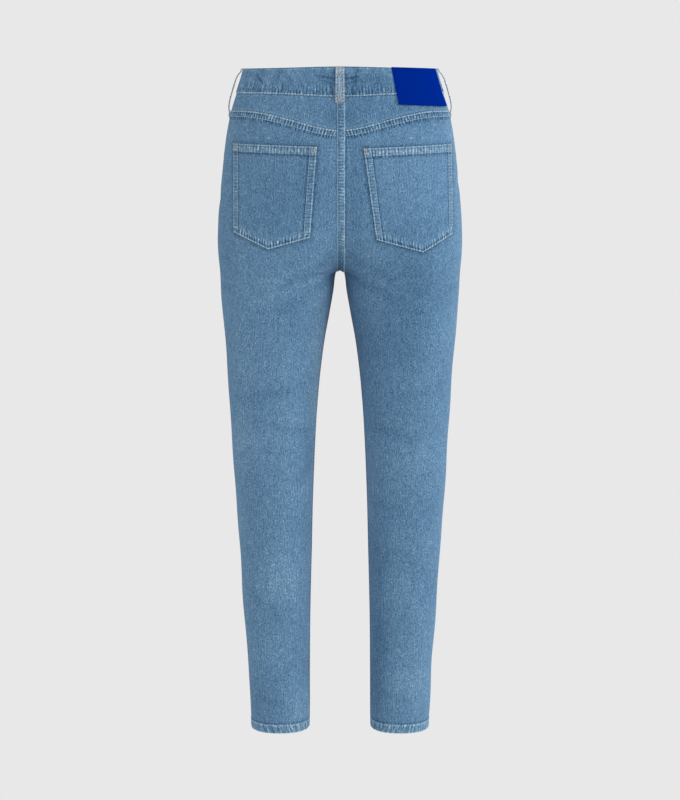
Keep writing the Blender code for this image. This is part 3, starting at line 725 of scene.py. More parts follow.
def spun_thread(name, shade, dark):
    """Spun polyester thread: two plies twisted together, soft in its sheen."""
    material, nodes, shader = new_finish(name)
    place = add(nodes, "ShaderNodeTexCoord").outputs["Object"]
    plies = add(nodes, "ShaderNodeTexNoise", {"Vector": place, "Scale": 900.0, "Detail": 1.0})
    mixed = add(nodes, "ShaderNodeValToRGB", {"Fac": plies.outputs[0]})
    stops = mixed.color_ramp.elements
    stops[0].position, stops[0].color = 0.35, colour(dark)
    stops[1].position, stops[1].color = 0.65, colour(shade)
    nodes.links.new(mixed.outputs["Color"], shader.inputs["Base Color"])
    shader.inputs["Roughness"].default_value = 0.7
    shader.inputs["Sheen Weight"].default_value = 0.15
    return material


ecru_thread = spun_thread("ecru_thread", "BFCDCE", "9DB1B8")
tan_thread = spun_thread("tan_thread", "B8B0A3", "938B80")


def sew(name, lines, thread, pitch=0.0031, size=(0.0028, 0.0008, 0.0006), lift=0.0001):
    """Stitches along lines, each a run of points and the cloth's outward directions there."""
    mesh = bpy.data.meshes.new(name + "_line")
    vertices, out, links = [], [], []
    for points, normals in lines:
        first = len(vertices)
        vertices += [tuple(p) for p in points + normals * lift]
        out += [tuple(n) for n in normals]
        links += [(first + i, first + i + 1) for i in range(len(points) - 1)]
    mesh.from_pydata(vertices, links, [])
    mark = mesh.attributes.new("out", "FLOAT_VECTOR", "POINT")
    mark.data.foreach_set("vector", np.array(out).reshape(-1))
    piece = bpy.data.objects.new(name, mesh)
    bpy.context.scene.collection.objects.link(piece)
    modifier = piece.modifiers.new("stitches", "NODES")
    modifier.node_group = stitched_line
    values = {"Pitch": pitch, "Stitch size": size, "Thread": thread}
    for item in stitched_line.interface.items_tree:
        if item.item_type == "SOCKET" and item.name in values:
            modifier[item.identifier] = values[item.name]
    seen = piece.evaluated_get(bpy.context.evaluated_depsgraph_get())
    stitches = bpy.data.meshes.new_from_object(seen)
    piece.modifiers.clear()
    piece.data = stitches
    stitches.name = name
    bpy.data.meshes.remove(mesh)
    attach(piece, "root")
    return piece


def column_line(place, rows, distance, from_end):
    """The line on a panel's face that follows one of its outer columns over some rows."""
    column = int(np.abs(NEAR_COLUMNS - distance).argmin())
    if from_end:
        column = -1 - column
    return place[0][rows, column], place[1][rows, column]


def row_line(place, distance, from_foot, columns=slice(None)):
    """The line on a panel's face that follows one of its outer rows."""
    row = int(np.abs(NEAR_ROWS - distance).argmin())
    if from_foot:
        row = -1 - row
    return place[0][row, columns], place[1][row, columns]


def roped_hem(marks, along, from_hem, seed):
    """The marks of a chain-stitched hem: worn ridges, dark hollows, a pale broken row, and a painted shadow
    just above its band.
    """
    seam, wear, rope = marks
    band = 1 - smooth(0.0125, 0.0145, from_hem)
    ridges = uneven(along, 0.0085, seed) + 0.7 * uneven(along - 0.3 * from_hem, 0.0051, seed + 5)
    broken = 0.6 + 0.4 * uneven(along, 0.0125, seed + 3)
    wear = wear + 0.18 * ridges * band + 0.01 * band
    wear = wear + 0.50 * broken * np.exp(-(((from_hem - 0.0128) / 0.0012) ** 2))
    # a painted shadow just above the hem's band
    wear = wear - 0.14 * np.exp(-(((from_hem - 0.0158) / 0.0014) ** 2))
    return seam, wear, rope


# The pockets' corners, seen from behind: inner top, outer top, outer foot, tip and inner foot.
# The back panels are painted darker close beside them, as shade along their edges.
POCKETS = {
    "left": (
        (0.0333, -0.0945),
        (0.1550, -0.0905),
        (0.1545, -0.2185),
        (0.1040, -0.2420),
        (0.0436, -0.2245),
    ),
    "right": (
        (0.0340, -0.0970),
        (0.1630, -0.0915),
        (0.1640, -0.2215),
        (0.1205, -0.2465),
        (0.0531, -0.2280),
    ),
}


def hem_ridges(along, from_hem, pitch, seed):
    """How far the gathered ridges of a hem stand out."""
    ridge = uneven(along, pitch, seed) * smooth(0, 0.003, from_hem)
    return 0.00045 * ridge * (1 - smooth(0.010, 0.015, from_hem))


def from_outline(points, corners):
    """The distance of each point from a pocket's outline, seen from behind."""
    away = np.full(points.shape[:-1], 1.0)
    seen = points[..., (0, 2)]
    for start, end in zip(corners, corners[1:] + corners[:1]):
        run = np.subtract(end, start)
        share = np.clip(((seen - start) @ run) / (run @ run), 0, 1)
        away = np.minimum(away, np.linalg.norm(seen - start - share[..., None] * run, axis=-1))
    return away


FIRST_ROW = 0.0015
SECOND_ROW = 0.0085
HEM_ROW = 0.0125
HEM_BAND = 0.0130
FOLD_OVER = 0.0006
COLUMNS = 64
ROW_PITCH = 0.0036
samples = np.linspace(0, 1, SAMPLES)
top = edge("yoke_seam", samples) + FOLD_OVER
keys = [side + (centre - side) * samples**2 for side, centre in GRID_ROWS[2:]]
back_heights = stacked(top, keys, HEM + 0 * samples, ROW_PITCH)
back_turns = np.broadcast_to(samples, back_heights.shape)
heights, turns, arc, length = spread(back_heights, back_turns, COLUMNS)
from_top = edge("yoke_seam", turns) + FOLD_OVER - heights
from_hem = heights - HEM
from_centre = length - arc
on_leg = smooth(-0.0005, 0.0005, CROTCH - heights[:, -1:])
for name, side in (("left", 1), ("right", -1)):
    along_hem = arc + 0.3 * from_hem
    raised, marks = beside_edges(
        (
            (from_top, arc, 0.0100, 0.0011, 0.95, 0.34, -0.03, (FIRST_ROW, SECOND_ROW)),
            (from_hem, along_hem, HEM_BAND, 0.0005, 0.42, 0.20, 0.04, (HEM_ROW,)),
            (
                from_centre, heights, 0.0100 * on_leg, 0.0008 * on_leg, 0.6 * on_leg, 0.22 * on_leg,
                -0.02 * on_leg, (FIRST_ROW, SECOND_ROW),
            ),
            (arc, heights, 0.0090, 0.0, 0.15, 0.06, 0.07, ()),
        ),
        side * 0.31,
    )
    seam, wear, rope = roped_hem(marks, along_hem, from_hem, side)
    beside_pocket = from_outline(surface(heights, turns), POCKETS[name])
    # a painted shadow on the panel close round each pocket's outline
    wear = wear - 0.23 * np.exp(-((beside_pocket / 0.0036) ** 2))
    if side < 0:
        # On the right back, a painted shadow beside the seat seam's fold edge, above the crotch.
        painted_seat_fold_shadow = np.exp(-(((from_centre - 0.0088) / 0.0011) ** 2)) * (1 - on_leg)
        wear = wear - 0.30 * painted_seat_fold_shadow
    marks = seam, wear, rope
    raised = raised + hem_ridges(along_hem, from_hem, 0.0085, side)
    inner = -DENIM + (DENIM + 0.0001) * (1 - smooth(0.0008, 0.0030, from_top))
    inner = inner - (HEM_LAYERS - DENIM) * (1 - smooth(0.0135, 0.0145, from_hem))
    inner, outer = rounded(inner, raised, arc, from_centre, from_top, from_hem)
    piece, over, normals = fitted(
        f"back_{name}_cloth", heights, turns, arc, length, side, inner, outer, marks,
        (denim_face, denim_inside),
    )
    place = (over, normals)
    leg_rows = np.nonzero((heights[:, -1] < CROTCH - 0.010) & (heights[:, -1] > HEM + 0.013))[0]
    stitches = sew(
        f"back_{name}_stitches",
        [
            row_line(place, FIRST_ROW, False, slice(2, -2)),
            row_line(place, SECOND_ROW, False, slice(2, -2)),
            row_line(place, HEM_ROW, True),
            column_line(place, leg_rows, FIRST_ROW, True),
            column_line(place, leg_rows, SECOND_ROW, True),
        ],
        ecru_thread,
    )
    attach(piece, "root")
    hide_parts(f"back_{name}")


# Fronts: the two front leg panels, cut away in a curve at the hip pocket mouths. The curved
# edge is turned under and stitched twice, and the wearer's left front carries the fly's
# curved double row, which holds a facing inside. Their hems match the backs'.
MOUTH_TURN = 0.52
MOUTH_DROP = 0.085
MOUTH_TOP = EDGES["band_seam"][1]
MOUTH_SIZE = 0.090


def from_mouth(heights, turns):
    """The distance of a place on a front from the curved edge of its pocket mouth."""
    down = np.clip((MOUTH_TOP - heights) / MOUTH_DROP, 0, None)
    return (np.hypot(turns / MOUTH_TURN, down) - 1) * MOUTH_SIZE


def mouth_line(side, distance, lift):
    """A line round a pocket mouth, a distance outside its edge."""
    angle = np.linspace(0.06, math.pi / 2 - 0.02, 60)
    wide = MOUTH_TURN * (1 + distance / MOUTH_SIZE)
    deep = MOUTH_DROP * (1 + distance / MOUTH_SIZE)
    return on_cloth(MOUTH_TOP - deep * np.sin(angle), -wide * np.cos(angle), side, lift)


def on_cloth(heights, turns, side, lift):
    """Points on a panel's face and its outward directions there."""
    mirror = np.array([side, 1, 1])
    normals = outward(heights, turns)
    off = relief(heights, turns, side) + lift
    return (surface(heights, turns) + normals * off[..., None]) * mirror, normals * mirror


def beside(heights, distance, seam, towards):
    """The turns that lie at a distance from a seam, each at its own height."""
    turns = seam + (towards - seam) * np.linspace(0, 0.45, 91)[None, :]
    arc = run_along(surface(heights[:, None], turns))
    distance = np.broadcast_to(distance, heights.shape)
    return np.array([np.interp(d, a, turns[0]) for d, a in zip(distance, arc)])


front_samples = np.linspace(-1, 0, SAMPLES)
top = edge("band_seam", front_samples) - 0.0001
side_heights = [row[0] for row in GRID_ROWS[1:]]
MOUTH_ANGLES = (52, 60, 67, 73, 78, 82, 85, 87.5, 90)
round_mouth = [MOUTH_TOP - MOUTH_DROP * math.sin(math.radians(a)) for a in MOUTH_ANGLES]
side_heights = sorted(set(side_heights) | set(round_mouth), reverse=True)
key_sides, key_centres = np.array(GRID_ROWS)[::-1].T
keys = [h + (np.interp(h, key_sides, key_centres) - h) * front_samples**2 for h in side_heights]
rows = stacked(top, keys, HEM + 0 * front_samples, ROW_PITCH)
inside_mouth = from_mouth(rows, front_samples[None, :]) < 0
front_heights, front_turns = np.empty_like(rows), np.empty_like(rows)
for i, row in enumerate(rows):
    stop = 0.0
    if inside_mouth[i].any():
        first = int(inside_mouth[i].argmax())
        near = from_mouth(row[first - 1 : first + 1], front_samples[first - 1 : first + 1])
        share = near[0] / (near[0] - near[1])
        stop = front_samples[first - 1] + share * (front_samples[first] - front_samples[first - 1])
    front_turns[i] = -1 + (stop + 1) * samples
    front_heights[i] = np.interp(front_turns[i], front_samples, row)
heights, turns, arc, length = spread(front_heights, front_turns, COLUMNS)
from_top = edge("band_seam", turns) - heights
from_hem = heights - HEM
at_mouth = (turns[:, -1:] < -0.001).astype(float)
from_side = length - arc + at_mouth
mouth_away = np.where(heights > MOUTH_TOP - MOUTH_DROP - 0.03, from_mouth(heights, turns), 1.0)
mouth_away = np.maximum(mouth_away, 0)
on_leg = smooth(-0.0005, 0.0005, CROTCH - heights[:, :1])
FLY_FOOT = -0.196
FLY_TOP = -0.0385
FLY_BEND = 0.040
FLY_IN = 0.009
FLY_ROWS = (0.034, 0.040)
for name, side in (("left", 1), ("right", -1)):
    along_hem = arc + 0.3 * from_hem
    # The top, under the waistband, and the inner leg edge, under the backs' felled edge, are painted dark,
    # as shade.
    raised, marks = beside_edges(
        (
            (from_top, arc, 0.0, 0.0, 0.25, -0.10, 0.0, ()),
            (from_hem, along_hem, HEM_BAND, 0.0005, 0.42, 0.20, 0.04, (HEM_ROW,)),
            (arc, heights, 0.0, 0.0, 0.2 * on_leg, -0.10 * on_leg, 0.0, ()),
            (from_side, heights, 0.0, 0.0, 0.15, 0.08, 0.0, ()),
            (
                mouth_away, turns * 0.2 + heights, 0.0100, 0.0005, 0.8, 0.30, 0.0,
                (FIRST_ROW, SECOND_ROW),
            ),
        ),
        side * 0.47,
    )
    marks = roped_hem(marks, along_hem, from_hem, side + 2)
    raised = raised + hem_ridges(along_hem, from_hem, 0.0082, side + 2)
    inner = -DENIM - (HEM_LAYERS - DENIM) * (1 - smooth(0.0135, 0.0145, from_hem))
    inner, outer = rounded(inner, raised, arc, length - arc, from_top, from_hem)
    piece, over, normals = fitted(
        f"front_{name}_cloth", heights, turns, arc, length, side, inner, outer, marks,
        (denim_face, denim_inside),
    )
    lines = [row_line((over, normals), HEM_ROW, True)]
    lines += [mouth_line(side, distance, 0.0004) for distance in (FIRST_ROW, SECOND_ROW)]
    if side > 0:
        for away in FLY_ROWS:
            straight = np.linspace(FLY_TOP, FLY_FOOT + FLY_BEND, 40)
            angle = np.linspace(0, math.pi / 2, 24)[1:]
            bent = straight[-1] - FLY_BEND * np.sin(angle)
            reach_in = np.concatenate([np.full(40, away), FLY_IN + (away - FLY_IN) * np.cos(angle)])
            fly_heights = np.concatenate([straight, bent - (away - FLY_ROWS[0]) * np.sin(angle)])
            fly_turns = beside(fly_heights, reach_in, -1, 0)
            lines.append(on_cloth(fly_heights, fly_turns, side, 0.0001))
    stitches = sew(f"front_{name}_stitches", lines, ecru_thread)
    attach(piece, "root")
    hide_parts(f"front_{name}")


# Yokes: the two shaped pieces of denim between the waistband and the backs, deeper at the
# centre back. The backs' folded tops lie over their feet and the waistband over their heads.
top = edge("band_seam", samples) - 0.0001
foot = edge("yoke_seam", samples) + 0.00015
yoke_heights = stacked(top, [], foot, 0.0024, NEAR_ROWS[:9])
heights, turns, arc, length = spread(yoke_heights, np.broadcast_to(samples, yoke_heights.shape), 84)
from_top = edge("band_seam", turns) - heights
from_foot = heights - edge("yoke_seam", turns)
for name, side in (("left", 1), ("right", -1)):
    # Both edges, under the waistband and under the backs' folds, are painted dark, as shade.
    raised, marks = beside_edges(
        (
            (from_top, arc, 0.0, 0.0, 0.30, -0.22, 0.0, ()),
            (from_foot, arc, 0.0010, 0.0, 0.30, -0.24, 0.0, ()),
            (arc, heights, 0.0, 0.0, 0.15, 0.10, 0.0, ()),
        ),
        side * 0.83,
    )
    inner, outer = rounded(-DENIM, raised, arc, length - arc, from_top, from_foot)
    yoke, over, normals = fitted(
        f"yoke_{name}_cloth", heights, turns, arc, length, side, inner, outer, marks,
        (denim_face, denim_inside),
    )
    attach(yoke, "root")
    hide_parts(f"yoke_{name}")


# Waistband: one strip folded double, all round. Its lower edge is turned under and stitched
# once through the panels, which puckers it, and its left end laps over its right. The fold at
# its top is drawn dark, and it creases either side of the centre loop; its creases and
# gathers are painted with shade in their hollows and a highlight on their ridges.
BAND_OUTER = 0.0012
BAND_INNER = -0.0010
LAP_OVER = 0.014
LAP_UNDER = 0.010
LAP_LIFT = 0.00125
LAP_FADE = 0.040
# The band's creases at the back: where each starts and ends, across and up, with its half width
# and its depth.
BAND_CREASES = (
    (0.036, 0.0085, 0.0075, 0.0030, 0.0020, 0.0011),
    (0.029, 0.0010, 0.0110, -0.0040, 0.0018, 0.0007),
    (-0.0075, 0.0030, -0.0270, 0.0068, 0.0019, 0.0011),
    (-0.0100, -0.0035, -0.0235, -0.0010, 0.0016, 0.0007),
    (0.1210, 0.0095, 0.1115, -0.0050, 0.0020, 0.0009),
    (0.0760, 0.0100, 0.0690, -0.0010, 0.0022, 0.0005),
    (-0.0600, 0.0080, -0.0520, -0.0040, 0.0022, 0.0005),
)
turn_length = math.pi / 2 * -float(read("front", 0.0))
band_start, band_end = -1 - LAP_OVER / turn_length, 3 + LAP_UNDER / turn_length


def on_band(turns, heights):
    """Points and outward directions of the waistband's layer, with the laps at its two ends."""
    folded = 1 - np.abs(turns - 1)
    mirror = np.where(turns > 1, -1.0, 1.0)
    points, normals = surface(heights, folded), outward(heights, folded)
    points[..., 0] *= mirror
    normals[..., 0] *= mirror
    from_start = (turns - band_start) * turn_length
    from_end = (band_end - turns) * turn_length
    lift = np.clip(1 - from_start / LAP_FADE, 0, 1) - np.clip(1 - from_end / LAP_FADE, 0, 1)
    ends = np.sqrt(np.clip(np.abs(lift), 0, 1)) * np.sign(lift)
    return points + normals * (LAP_LIFT * ends)[..., None], normals


edge_turns = NEAR_COLUMNS[:8] / turn_length
band_turns = np.concatenate(
    [
        band_start + edge_turns,
        np.linspace(band_start + edge_turns[-1], band_end - edge_turns[-1], 640)[1:-1],
        (band_end - edge_turns)[::-1],
    ]
)
folded = 1 - np.abs(band_turns - 1)
head, foot = edge("waist", folded), edge("band_seam", folded) + 0.00002
heights = stacked(head, [], foot, 0.0018, NEAR_ROWS[:9])
turns = np.broadcast_to(band_turns, heights.shape)
points, normals = on_band(turns, heights)
arc = run_along(points)
length = arc[:, -1:]
arc = arc * (length.mean() / length)
length = arc[:, -1:]
from_top, from_foot = head - heights, heights - foot
raised, marks = beside_edges(
    (
        (from_top, arc, 0.0, 0.0, 0.35, -0.42, 0.0, ()),
        (from_foot, arc, 0.0040, 0.0, 0.7, 0.26, 0.02, (FIRST_ROW,)),
        (arc, heights, 0.0, 0.0, 0.3, 0.10, 0.0, ()),
        (length - arc, heights, 0.0, 0.0, 0.3, 0.10, 0.0, ()),
    ),
    2.9,
)
lie = np.zeros(heights.shape)
for x_a, height_a, x_b, height_b, width, depth in BAND_CREASES:
    run = np.array([x_b - x_a, height_b - height_a])
    off = points[..., 0] - x_a, heights - height_a
    share = np.clip((off[0] * run[0] + off[1] * run[1]) / (run @ run), 0, 1)
    far = ((off[0] - share * run[0]) ** 2 + (off[1] - share * run[1]) ** 2) / width**2
    far = far + 100 * (points[..., 1] < 0)
    lie -= depth * (0.4 + 0.6 * np.sqrt(4 * share * (1 - share))) * (1 - 0.9 * far) * np.exp(-far)
gathers = uneven(arc + 0.15 * from_foot, 0.0058, 1.0) * smooth(0.0018, 0.004, from_foot)
lie = lie + 0.00050 * gathers * (1 - smooth(0.010, 0.021, from_foot))
lie = lie + 0.00020 * uneven(arc, 0.031, 4.0) * smooth(0.0, 0.012, from_foot)
seam, wear, rope = marks
rope = np.maximum(rope, 0.36 * (1 - smooth(0.010, 0.020, from_foot)))
# The creases and gathers are painted darker in their hollows, as shade, and paler on their ridges, as
# highlight.
wear = wear + np.clip(lie * 300, -0.48, 0.18)
ripple = np.sin(heights / 0.0042 + 9 * np.sin(arc / 0.03))
wear = wear + 0.10 * uneven(arc + 0.5 * heights, 0.019, 1.7) * ripple
inner, outer = rounded(BAND_INNER, BAND_OUTER + lie, arc, length - arc, from_top, from_foot)
waistband, over, band_normals = shell(
    "waistband_cloth", points, normals, inner, outer, 1, np.stack([arc, heights], -1),
    seam, wear, rope, (denim_face, denim_inside),
)
band_stitches = sew(
    "waistband_stitches",
    [row_line((over, band_normals), FIRST_ROW, True, slice(3, -3))],
    ecru_thread,
)
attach(waistband, "root")
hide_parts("waistband")


# Hip pocket bearers: plain pieces of denim under the fronts, seen through the pocket mouths.
# Each is caught in the waist and side seams and reaches past the curved edge all round.
MOUTH_LAP = 1.22
BEARER_RISE = 0.0030
down = np.sin(np.linspace(0, math.pi / 2 - 0.09, 44))[:, None]
reach_round = MOUTH_TURN * MOUTH_LAP * np.sqrt(1 - down**2)
bearer_turns = -reach_round * (1 - samples)
heights = MOUTH_TOP + BEARER_RISE - (MOUTH_DROP * MOUTH_LAP + 0.0031) * down + 0 * samples
heights = heights - (EDGES["band_seam"][1] - edge("band_seam", bearer_turns)) * (1 - down)
heights, turns, arc, length = spread(heights, bearer_turns, 36)
depth_under = DENIM + SEAM_GAP
for name, side in (("left", 1), ("right", -1)):
    under_fold = np.maximum(-from_mouth(heights, turns), 0)
    # The strip under the front's folded mouth edge is painted dark, as shade.
    raised, marks = beside_edges(
        ((under_fold, turns * 0.2, 0.0015, 0.0, 0.3, -0.22, -0.06, ()),), side * 0.2
    )
    points, normals = surface(heights, turns), outward(heights, turns)
    lie = relief(heights, turns, side)
    bearer, over, normals = shell(
        f"hip_pocket_{name}_cloth", points, normals, lie - depth_under - DENIM, lie - depth_under,
        side, np.stack([arc, heights], -1), *marks, (denim_face, denim_inside),
    )
    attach(bearer, "root")
    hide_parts(f"hip_pocket_{name}")


# Back pockets: five-sided patches with a hem at the top and their other edges turned under.
# They are stitched twice down the sides and once along the foot, where the cloth puckers
# outwards from the stitches, and a tan bartack holds each top corner.
POCKET_HEM = 0.0115
TACK_PITCH = 0.0006
TACK_LIFT = 0.0002
TACK_SIZE = (0.0008, 0.0022, 0.0008)
POCKET_SIDE_ROW = 0.0095
POCKET_HEM_ROW = 0.0110
RUCK_PITCH = 0.0068


def top_and_foot(corners, tip_at, across):
    """The points at the top and the foot of a pocket at some shares of the way across it."""
    inner_top, outer_top, outer_foot, tip, inner_foot = corners
    before = np.clip(across / tip_at, 0, 1)[..., None]
    after = np.clip((across - tip_at) / (1 - tip_at), 0, 1)[..., None]
    upper = inner_top + (outer_top - inner_top) * across[..., None]
    return upper, inner_foot + (tip - inner_foot) * before + (outer_foot - tip) * after


for name, side in (("left", 1), ("right", -1)):
    corners = [np.array(corner) for corner in POCKETS[name]]
    outer_foot, tip, inner_foot = corners[2:]
    tip_at = (tip[0] - inner_foot[0]) / (outer_foot[0] - inner_foot[0])
    upper, lower = top_and_foot(corners, tip_at, samples)
    halfway = (upper + lower) / 2
    arc = run_along(surface(halfway[:, 1], turn_at(halfway[:, 0], halfway[:, 1])))
    width = arc[-1]
    middle = np.linspace(NEAR_COLUMNS[-1], width - NEAR_COLUMNS[-1], 62)[1:-1]
    wanted = np.concatenate([NEAR_COLUMNS, middle, width - NEAR_COLUMNS[::-1]])
    tip_arc = np.interp(tip_at, samples, arc)
    wanted[np.abs(wanted - tip_arc).argmin()] = tip_arc
    across = np.interp(wanted, arc, samples)
    upper, lower = top_and_foot(corners, tip_at, across)
    tall = upper[:, 1] - lower[:, 1]
    near = NEAR_ROWS[:14]
    body = np.linspace(0, 1, 44)[1:-1, None]
    start, end = near[-1] / tall, 1 - near[-1] / tall
    down = np.concatenate(
        [near[:, None] / tall, start + (end - start) * body, 1 - near[::-1, None] / tall]
    )
    flat = upper[None] + (lower - upper)[None] * down[..., None]
    heights = flat[..., 1]
    turns = turn_at(flat[..., 0], heights)
    points, normals = surface(heights, turns), outward(heights, turns)
    from_inner = np.broadcast_to(wanted, heights.shape)
    from_outer = width - from_inner
    from_top = down * tall
    slope = np.where(across < tip_at, 0.95, 0.90)
    from_foot = (1 - down) * tall * slope
    raised, marks = beside_edges(
        (
            (from_top, from_inner, POCKET_HEM, 0.0007, 0.62, 0.14, 0.10, (FIRST_ROW, POCKET_HEM_ROW)),
            (from_foot, from_inner, 0.0022, 0.0004, 0.95, 0.30, 0.02, (FIRST_ROW,)),
            (from_inner, heights, 0.0095, 0.0005, 0.40, 0.30, 0.03, (FIRST_ROW, POCKET_SIDE_ROW)),
            (from_outer, heights, 0.0095, 0.0005, 0.40, 0.28, 0.03, (FIRST_ROW, POCKET_SIDE_ROW)),
        ),
        side * 0.59,
    )
    seam, wear, rope = marks
    rope = np.maximum(rope, 0.8 * (1 - smooth(0.006, 0.014, from_foot)))
    rucks = uneven(from_inner, RUCK_PITCH, side)
    raised = raised + 0.00035 * (rucks * (1 - smooth(0.005, 0.013, from_foot))) * smooth(0, 0.002, from_foot)
    # a painted shadow just below the hem's band
    wear = wear - 0.20 * np.exp(-(((from_top - POCKET_HEM - 0.0020) / 0.0018) ** 2))
    wear = wear + 0.10 * np.exp(-(((from_foot - 0.0075) / 0.005) ** 2))
    wear = wear + 0.20 * rucks * np.exp(-(((from_foot - 0.006) / 0.004) ** 2))
    base = relief(heights, turns, side)
    inner, outer = rounded(
        SEAM_GAP, SEAM_GAP + DENIM + raised, from_inner, from_outer, from_top, from_foot
    )
    pocket, over, facing = shell(
        f"back_pocket_{name}_cloth", points[:, ::-1], normals[:, ::-1],
        (base + inner)[:, ::-1], (base + outer)[:, ::-1], side,
        np.stack([from_inner + 0.4, heights], -1)[:, ::-1],
        seam[:, ::-1], wear[:, ::-1], rope[:, ::-1], (denim_face, denim_inside),
    )
    over, facing = over[:, ::-1], facing[:, ::-1]
    place = (over, facing)
    rows = np.arange(2, over.shape[0] - 3)
    lines = [
        column_line(place, rows, distance, from_end)
        for from_end in (False, True)
        for distance in (FIRST_ROW, POCKET_SIDE_ROW)
    ]
    lines.append(row_line(place, FIRST_ROW, True, slice(4, -4)))
    stitches = sew(f"back_pocket_{name}_stitches", lines, ecru_thread)
    tan_lines = [row_line(place, row, False, slice(3, -3)) for row in (FIRST_ROW, POCKET_HEM_ROW)]
    tan_stitches = sew(f"back_pocket_{name}_hem_stitches", tan_lines, tan_thread)
    tacks = [(over[2:11, column], facing[2:11, column]) for column in (6, -7)]
    tack = sew(
        f"back_pocket_{name}_bartacks", tacks, tan_thread, TACK_PITCH, (0.0008, 0.0028, 0.0009), TACK_LIFT
    )
    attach(pocket, "root")
    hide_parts(f"back_pocket_{name}")


# Seat seam: where the wearer's left panels are felled over the right, down the back, through
# the crotch and up to the fly. It is a narrow fold with one edge, stitched twice, paler and
# puckered between its rows.
# The strip's section: how far across the seam and how far off the panels.
STRIP_ACROSS = (
    (-0.0074, 0.00020),
    (-0.0073, 0.00085),
    (-0.0069, 0.00120),
    (-0.0064, 0.00085),
    (-0.0058, 0.00120),
    (-0.0044, 0.00130),
    (-0.0028, 0.00130),
    (-0.0012, 0.00130),
    (0.0004, 0.00125),
    (0.0020, 0.00120),
    (0.0027, 0.00105),
    (0.0033, 0.00070),
    (0.0039, 0.00085),
    (0.0045, 0.00060),
    (0.0050, 0.00030),
    (0.0054, 0.00010),
)
STRIP_TOP_BACK = -0.0316
STRIP_TOP_FRONT = -0.0372
STRIP_UNDER = 0.00005


def beyond(x, y, height):
    """Over 0 outside the form, under 0 inside it."""
    middle, half, depth, power = oval(height, y - read("side", height))
    across = np.abs((np.abs(x) - middle) / half)
    return across**power + np.abs((y - read("side", height)) / depth) ** power - 1


share = np.linspace(1, 0, 190)
down_back = CROTCH + (STRIP_TOP_BACK - CROTCH) * share**2.2
up_front = CROTCH + (STRIP_TOP_FRONT - CROTCH) * share[-2::-1] ** 2.2
path = np.concatenate([surface(down_back, 1.0), surface(up_front, -1.0)])
path[:, 0] = 0
for _ in range(6):
    path[1:-1] = (path[:-2] + 2 * path[1:-1] + path[2:]) / 4
way = np.gradient(path, axis=0)
way /= np.linalg.norm(way, axis=1, keepdims=True)
square = np.stack([np.zeros(len(path)), -way[:, 2], way[:, 1]], -1)
across = np.array([a for a, _ in STRIP_ACROSS])
low, high = np.full((len(path), len(across)), -0.03), np.full((len(path), len(across)), 0.03)
for _ in range(26):
    half_way = (low + high) / 2
    y = path[:, None, 1] + half_way * square[:, None, 1]
    z = path[:, None, 2] + half_way * square[:, None, 2]
    is_out = beyond(across[None, :], y, z) > 0
    low, high = np.where(is_out, low, half_way), np.where(is_out, half_way, high)
stand = (low + high) / 2
points = path[:, None] + square[:, None] * stand[..., None]
points[..., 0] = across
run = run_along(path)
at_back = path[:, 1] > 0
yoke_fold = edge("yoke_seam", 1.0) + FOLD_OVER
over_yoke = smooth(yoke_fold - 0.0145, yoke_fold - 0.0100, path[:, 2])
over_yoke = over_yoke * (1 - smooth(yoke_fold, yoke_fold + 0.0018, path[:, 2])) * at_back
base = 0.0012 * over_yoke[:, None] + 0 * across
height_over = np.array([h for _, h in STRIP_ACROSS])[None, :] + base
from_fold = across[None, :] - across[0] + 0 * base
seam_map = np.stack([run[:, None] + 9.0 + 0 * base, from_fold], -1)
band = smooth(0.0008, 0.0020, from_fold) * (1 - smooth(0.0085, 0.0115, from_fold))
wear = 0.32 * np.exp(-((from_fold / 0.0017) ** 2)) + 0.07 * band
wear = wear - 0.22 * np.exp(-(((from_fold - 0.0088) / 0.0013) ** 2))
wear = wear * (1 + 0.35 * uneven(run[:, None], 0.017, 3.0))
# Towards the crotch the band between the rows is drawn darker.
wear = wear - 0.14 * smooth(-0.225, -0.262, path[:, 2])[:, None] * band
seat_seam, over, facing = shell(
    "seat_seam_fold", points[:, ::-1], np.broadcast_to(square[:, None], points.shape)[:, ::-1],
    STRIP_UNDER + base[:, ::-1], height_over[:, ::-1], 1,
    np.stack([from_fold, 0 * base - run[:, None]], -1)[:, ::-1], seam_map[:, ::-1],
    wear[:, ::-1], (0.45 * band)[:, ::-1], (denim_face, denim_inside),
)
over, facing = over[:, ::-1], facing[:, ::-1]
sewn = np.nonzero(at_back | (path[:, 2] < FLY_FOOT + 0.004))[0]
fold_row, felled_row = 3, 11
seat_stitches = sew(
    "seat_seam_stitches",
    [(over[sewn, row], facing[sewn, row]) for row in (fold_row, felled_row)],
    ecru_thread,
    lift=0.0002,
)
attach(seat_seam, "root")


# Belt loops: straps of denim folded in three and stitched down both sides. They are caught
# under the waistband's top, stand off it for a belt and are held down below it by a bartack.
LOOP_WIDTH = 0.0120
LOOP_THICK = 0.0016
FOOT_SEWN = 0.006
# Each loop's side, its turn round the waist, the height of its foot and its slack for a belt.
LOOPS = {
    "loop_back": (1, 1.0, -0.0310, 0.0060),
    "loop_side_left": (1, 0.0, -0.0525, 0.0052),
    "loop_side_right": (-1, 0.0, -0.0525, 0.0056),
    "loop_front_left": (1, -0.62, -0.0440, 0.0060),
    "loop_front_right": (-1, -0.62, -0.0440, 0.0060),
}
